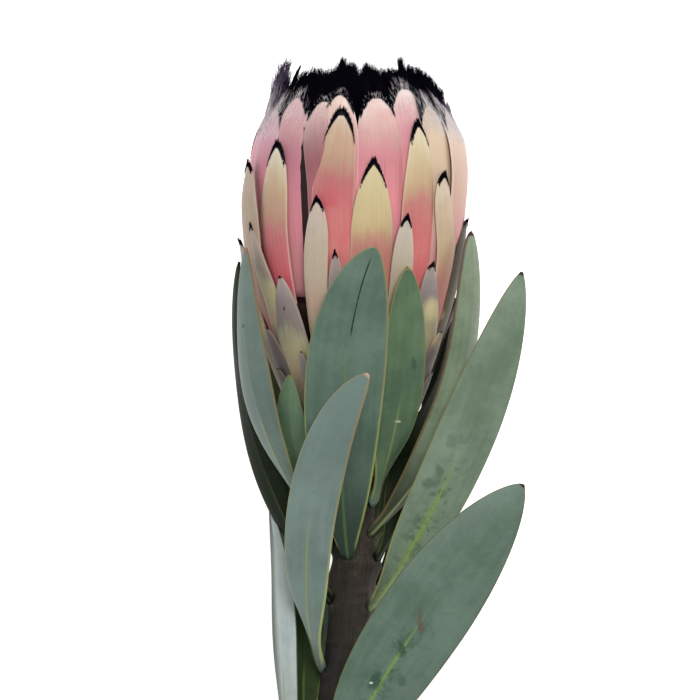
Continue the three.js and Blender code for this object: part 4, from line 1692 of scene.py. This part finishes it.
LEAVES = (
    # Painted shadow: its dark foot colour reaches over its lower half, where the next leaf shades it
    Leaf("leaf_front_long", Wax.BLUE_GREEN, (-24, -12), ((-4.6, -3.7, 20), (-5.7, 45.4, 37)), (6.9, 71.2, 38), 24.5,
         (0.05, 0, 1), 0.1, base=0.8, blunt=0.68, finish=LeafFinish(
             "#657d6e", "#52695b", "#222e29", crease=(0.7, 0.965), rib="#5f7d45", rib_reach=0.72, foot_shadow_reach=0.55,
             tip="#8a7a52", tip_size=1.0, margins=(0.5, 0.95), margin_high="#8d8458", margin_low="#97a75c")),
    Leaf("leaf_front_curved", Wax.PALE, (-59, -62), ((-18, -40, 13), (-16.6, 9.8, 37)), (4.6, 32.3, 42), 15.8,
         (-0.25, 0, 1), 0.12, base=0.65, blunt=0.62, finish=LeafFinish(
             "#7f938d", "#6b8078", "#66756c", far="#667b73", tip="#b59c86", tip_size=1.3, margin_high="#94815a",
             margin_low="#a9b070", margins=(0.35, 0.9), foot_shadow_reach=0.4)),
    Leaf("leaf_front_green", Wax.GREEN, (-7.8, 48), ((12, 10, 16), (17.3, 30, 27)), (16.4, 65.0, 32.5), 15.3,
         (0.45, 0, 1), 0.1, blunt=0.55, finish=LeafFinish(
             "#607a5a", "#4c664d", "#7b9082", tip="#7d7a4a", tip_size=0.8, margins=(0.7, 0.45), margin_high="#8a8250",
             margin_low="#98a35e", rib="#7f9158", stains=(
                 Stain((13.5, 17.7, 25), (1.5, 0.4, 20), "#c9cfc0"),
                 Stain((18.7, 35.6, 25), (1.2, 2.2, 20), "#3c5240")))),
    Leaf("leaf_front_short", Wax.GREEN, (-16, -50), ((-14, -4, 6), (-21, 10, 14)), (-19.7, 32, 21), 12,
         (-0.6, 0, 1), 0.15, finish=LeafFinish("#7b9676", "#638064", "#4c624c", tip="#6b7d50", margin_high="#8a8a5c",
                                               margin_low="#7f8f58")),
    Leaf("leaf_left_pale", Wax.PALE, (-20, -70), ((-27.5, 7, 15.5), (-35.4, 28, 18)), (-33.0, 71.2, 17.5), 14.8,
         (-0.8, 0, 0.62), 0.2, base=1.5, finish=LeafFinish(
             "#6c7e77", "#5c7067", "#7b8a82", margin_high="#7d6a4a", margin_low="#8a8458", tip="#8a6a58",
             margins=(0.35, 0.7), stains=(Stain((-34, 47.2, 15), (0.6, 0.9, 20), "#33403a"),))),
    Leaf("leaf_left_dark", Wax.DARK, (-38, -52), ((-12.8, -29, 4), (-42.8, 18.5, -3)), (-35.4, 67, 1), 14,
         (-0.93, 0, 0.36), 0.15, (-0.75, 0, 0.66)),
    # Painted shade: dark towards its foot and down its right side, which turns away from the light
    Leaf("leaf_right_narrow", Wax.GREEN, (-17, 44), ((19.8, -2, 8.5), (40.6, 24, 17)), (36.2, 76.2, 12), 15.8,
         (1, 0, 0.75), 0.25, blunt=0.5, finish=LeafFinish(
             "#82917a", "#65755d", "#262b1e", margin_high="#5a3826", margin_low="#6a5c3c", foot_shadow_from=0.16,
             foot_shadow_reach=0.55, side_shadow=0.55, margins=(0.9, 0.4))),
    # Painted shade towards its foot
    Leaf("leaf_right_upper", Wax.BLUE_GREEN, (-40, 50), ((18, -24.5, 15), (40.1, 17.0, 27)), (51.8, 63.7, 18), 18.9,
         (0.3, 0, 1), 0.14, base=0.8, blunt=0.68, finish=LeafFinish(
             "#7c8f7b", "#627762", "#363f22", rib="#7f9a4c", rib_reach=0.56, glow=2.4, foot_shadow_reach=0.32,
             margin_high="#6f6a44", margin_low="#8a8a50", margins=(0.6, 0.4), stains=(
                 Stain((23.7, -1.2, 20), (3.0, 2.6, 20), "#46604a", 0.6),
                 Stain((26.2, 1.5, 20), (1.8, 4, 20), "#46604a", 0.6),
                 Stain((30.5, 11.8, 20), (2.2, 3.5, 20), "#526a54", 0.5),
                 Stain((38, 33, 20), (3, 3.5, 20), "#566e58", 0.4)))),
    Leaf("leaf_right_lower", Wax.BLUE_GREEN, (-90, 32), ((-3.4, -75.2, 24), (27.2, -32.6, 33)), (52.1, -1.5, 24), 27.6,
         (0.12, 0, 1), 0.08, base=0.7, finish=LeafFinish(
             "#6a8072", "#546b5c", "#4f6352", rib="#7f9f4c", rib_reach=0.62, glow=1.3, margin_high="#6b5a30",
             margin_low="#66702c", margins=(0.4, 0.5), stains=(
                 Stain((14.6, -51.4, 25), (2.0, 4.2, 25), "#2f4a38"),
                 Stain((6.6, -61.6, 25), (2.4, 3.8, 25), "#2f5040"),
                 Stain((5.4, -62.6, 25), (0.7, 0.45, 25), "#d9ddd2", 1, 1),
                 Stain((20.4, -42.3, 25), (0.9, 5.5, 25), "#664f48", 0.7),
                 Stain((21.0, -46.2, 25), (1.6, 1.6, 25), "#664f48", 0.6),
                 Stain((15, -62, 25), (2.0, 2.4, 25), "#3c5646", 0.5),
                 Stain((24.6, -26.3, 25), (2.2, 1.6, 25), "#456450", 0.5)))),
    # Painted highlight: its pale grey face; painted shade: the broad dark band down its left margin, the half that
    # folds back
    Leaf("leaf_low_left_pale", Wax.PALE, (-97, -85), ((-23, -78, 2), (-20.4, -45, 6)), (-25.8, -9.0, -5), 10.6,
         (-0.75, 0, 0.7), 0.25, finish=LeafFinish("#b8c3c0", "#9dabaa", "#8d9692", tip="#8a7a6a", margins=(4.8, 0.3),
                                              margin_high="#2f3b22", margin_low="#46523a")),
    # Painted shade: its dark greens stand for the leaf lying in the shadow of the leaves over it
    Leaf("leaf_low_left_dark", Wax.DARK, (-88, -78), ((-16, -74, 0), (-15.5, -48, -2)), (-13, -22, -3), 11,
         (-0.2, 0, 1), 0.12, finish=LeafFinish("#374629", "#2a3820", "#1e2618", margin_high="#2c2a1c",
                                               margin_low="#7f8a3c", rib="#5a6e38", gloss=0.05)),
    Leaf("leaf_right_inner", Wax.DARK, (-25, 66), ((14.4, -14, 4), (26.5, 9, -5)), (31.2, 56, -2), 19,
         (1, 0, 0), 0.1, (0.3, 0, 1)),
    Leaf("leaf_right_hidden", Wax.DARK, (-33, 120), ((15, -20, -14), (28.4, 4, -22)), (27.8, 53, -21), 15.8,
         (1, 0, -0.8), 0.1),
    Leaf("leaf_back_right", Wax.GREEN, (-27, 150), ((8, -14, -16), (14, 12, -29)), (12, 54, -32), 14,
         (0.3, 0, -1), 0.08),
    Leaf("leaf_back_middle", Wax.GREEN, (-10, 178), ((1, 6, -15), (-1, 24, -29)), (-3, 52, -33), 13,
         (-0.05, 0, -1), 0.08),
    Leaf("leaf_back_left", Wax.GREEN, (-22, -138), ((-13.5, -8, -13), (-24.4, 18, -25)), (-21.4, 55, -27.5), 18.4,
         (-0.6, 0, -1), 0.1),
    Leaf("leaf_rest_middle", Wax.BLUE_GREEN, (-47, 172), ((2, -30, -20), (2, -10, -36)), (6, 20, -38), 17,
         (0, 0, -1), 0.08),
    Leaf("leaf_rest_left", Wax.BLUE_GREEN, (-72, -150), ((-12, -54, -20), (-17, -36, -36)), (-19, 2, -40), 16,
         (0, 0, -1), 0.06),
    Leaf("leaf_rest_right", Wax.BLUE_GREEN, (-80, 148), ((4, -60, -20), (18, -42, -36)), (27, -4, -40), 18,
         (0, 0, -1), 0.06),
)


# The studio


@dataclass(frozen=True)
class Lamp:
    """A soft square lamp: where it stands and its side in metres, its watts and its colour."""

    name: str
    place: Point
    side: float
    power: float
    shade: Point


@dataclass
class Studio:
    """A pale floor, soft light and the camera that looks down on the flower.

    A pixel of the picture is so many millimetres, and its middle lies over view_middle in the flower's frame.
    """

    pixel: float = 0.31
    view_middle: tuple[float, float] = (-1.085, 39.68)
    image_side: int = 700
    lens: float = 420.0
    sensor: float = 36.0
    floor_reach: float = 3.0
    sky_strength: float = 0.33
    aim: Point = (0.0, 0.03, 0.03)
    lamps: tuple[Lamp, ...] = (
        Lamp("key", (0.2, 0.55, 1.05), 0.5, 10.0, (1.0, 0.985, 0.965)),
        Lamp("fill", (-0.7, 0.1, 0.9), 0.8, 1.4, (0.97, 0.98, 1.0)),
    )

    def floor(self) -> None:
        """Adds the floor that the flower lies on."""
        mesh = bpy.data.meshes.new("floor")
        corners = [(x * self.floor_reach, y * self.floor_reach, 0) for x, y in ((-1, -1), (1, -1), (1, 1), (-1, 1))]
        mesh.from_pydata(corners, [], [(0, 1, 2, 3)])
        mesh.materials.append(FloorFinish().material())
        new_object("floor", mesh)

    def light(self, lamp: Lamp) -> None:
        """Adds a lamp that faces the aim.

        Args:
            lamp: the lamp.
        """
        data = bpy.data.lights.new(lamp.name, "AREA")
        data.size, data.energy, data.color = lamp.side, lamp.power, lamp.shade
        made = new_object(lamp.name, data)
        made.location = lamp.place
        towards = Vector(self.aim) - Vector(lamp.place)
        made.rotation_mode = "QUATERNION"
        made.rotation_quaternion = towards.to_track_quat("-Z", "Y")

    def camera(self) -> None:
        """Adds the camera straight above, far away with a long lens."""
        data = bpy.data.cameras.new("camera")
        data.lens, data.sensor_width = self.lens, self.sensor
        across = self.image_side * self.pixel * MM
        distance = across / self.sensor * self.lens
        made = new_object("camera", data)
        x, y = self.view_middle
        middle = PLACE.metres(np.array([x, y, 0.0]))[0]
        made.location = (middle[0], middle[1], middle[2] + distance)
        data.clip_start, data.clip_end = 0.05, distance * 3
        bpy.context.scene.camera = made

    def build(self) -> None:
        """Sets up the floor, the lights, the sky and the camera."""
        self.floor()
        self.camera()
        for lamp in self.lamps:
            self.light(lamp)
        world = bpy.data.worlds.new("sky")
        world.use_nodes = True
        sky = world.node_tree.nodes["Background"]
        sky.inputs["Color"].default_value = (1.0, 1.0, 1.0, 1.0)
        sky.inputs["Strength"].default_value = self.sky_strength
        scene = bpy.context.scene
        scene.world = world
        scene.view_settings.view_transform = "Standard"


# The finishes of the head


CREAM = BractFinish(
    "bract_cream_skin",
    ((0.0, "#ded5c8"), (0.25, "#cdc0a6"), (0.55, "#bfa98a"), (0.85, "#b68f77"), (1.12, "#bb6f70"), (1.7, "#c95c66"),
     (2.4, "#d66a70"), (4.0, "#c69a78")),
    margin="#d6c2ae", blush="#c08f82", warm="#d2c28e", cool="#a8968a",
)
PINK = BractFinish(
    "bract_pink_skin",
    ((0.0, "#f3e6e1"), (0.3, "#dcbcb6"), (0.75, "#cb9b9a"), (1.3, "#cd828a"), (2.2, "#e88f98"), (4.0, "#d98f8a")),
    margin="#ecd8d6", blush="#cf8fa2", warm="#cbb594", cool="#c089a4",
)
GREY = BractFinish(
    "bract_grey_skin",
    ((0.0, "#a5978e"), (0.5, "#8d7f7b"), (0.9, "#85796f"), (1.1, "#a5a081"), (1.45, "#b1aa80"), (2.0, "#b09a7c"),
     (4.0, "#8f7a62")),
    margin="#b09a8a", blush="#8a7a78", warm="#a59a80", cool="#85848c",
    stains=(
        Stain((-21.3, 52.4, 24), (0.5, 1.2, 6), "#241e1c", 0.9, 1.0),
        Stain((25.0, 51.8, 24), (4.5, 5.0, 20), "#d6ca96", 0.85, 1.0),
        Stain((26.2, 43.5, 24), (4.0, 5.5, 20), "#c4ad8c", 0.75, 1.0),
    ),
)
BLACK_HAIR = HairFinish(
    "black_hair", ((0.0, "#08070d"), (0.15, "#12101b"), (0.45, "#5a4d66"), (0.75, "#b3aab4"), (1.0, "#efeaea")),
)
SILK_HAIR = HairFinish(
    "silk_hair", ((0.0, "#1b171f"), (0.3, "#6f6773"), (0.7, "#d9d0d2"), (1.0, "#f6f1f0")), 0.45,
)


def main() -> None:
    """Builds the flower piece by piece, then the studio round it."""
    logging.basicConfig(level=logging.INFO, format="%(message)s")
    inner = Whorl("bracts_inner", "bract_pink", -18, -1, (22.3, 86), 56, PINK, 0.9, lining=22.0, hairs=400, seed=3)
    middle = Whorl("bracts_middle", "bract_cream", 0, LAST_CREAM, (12.3, 54), 26, CREAM, 0.35, hairs=260, seed=4)
    outer = Whorl("bracts_outer", "bract_grey", LAST_CREAM + 1, 47, (3.3, 42), 8, GREY, 0.0, rows=34, hairs=60, seed=6)
    for whorl in (inner, middle, outer):
        whorl.build()
    for whorl in (inner, middle, outer):
        Fringe(whorl, BLACK_HAIR).build()
    Crown(BLACK_HAIR).build()
    Silk(inner, SILK_HAIR).build()
    Florets(SILK_HAIR).build()
    fibre = FibreFinish("woody_core", "#6b4f30", "#a3845a").material()
    wool = FibreFinish("floret_wool", "#b39a8c", "#e2d3c8").material()
    for node, material in (("receptacle", fibre), ("florets", wool)):
        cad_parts[node].data.materials.clear()
        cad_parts[node].data.materials.append(material)
    bark = BarkFinish("stem_bark", "#261e15", "#3a3125", "#554d3e", "#b79a68")
    stem = Stem(bark, tuple(leaf.foot for leaf in LEAVES))
    stem.build()
    for leaf in LEAVES:
        leaf.build(stem)
    Studio().build()


if __name__ == "__main__":
    main()
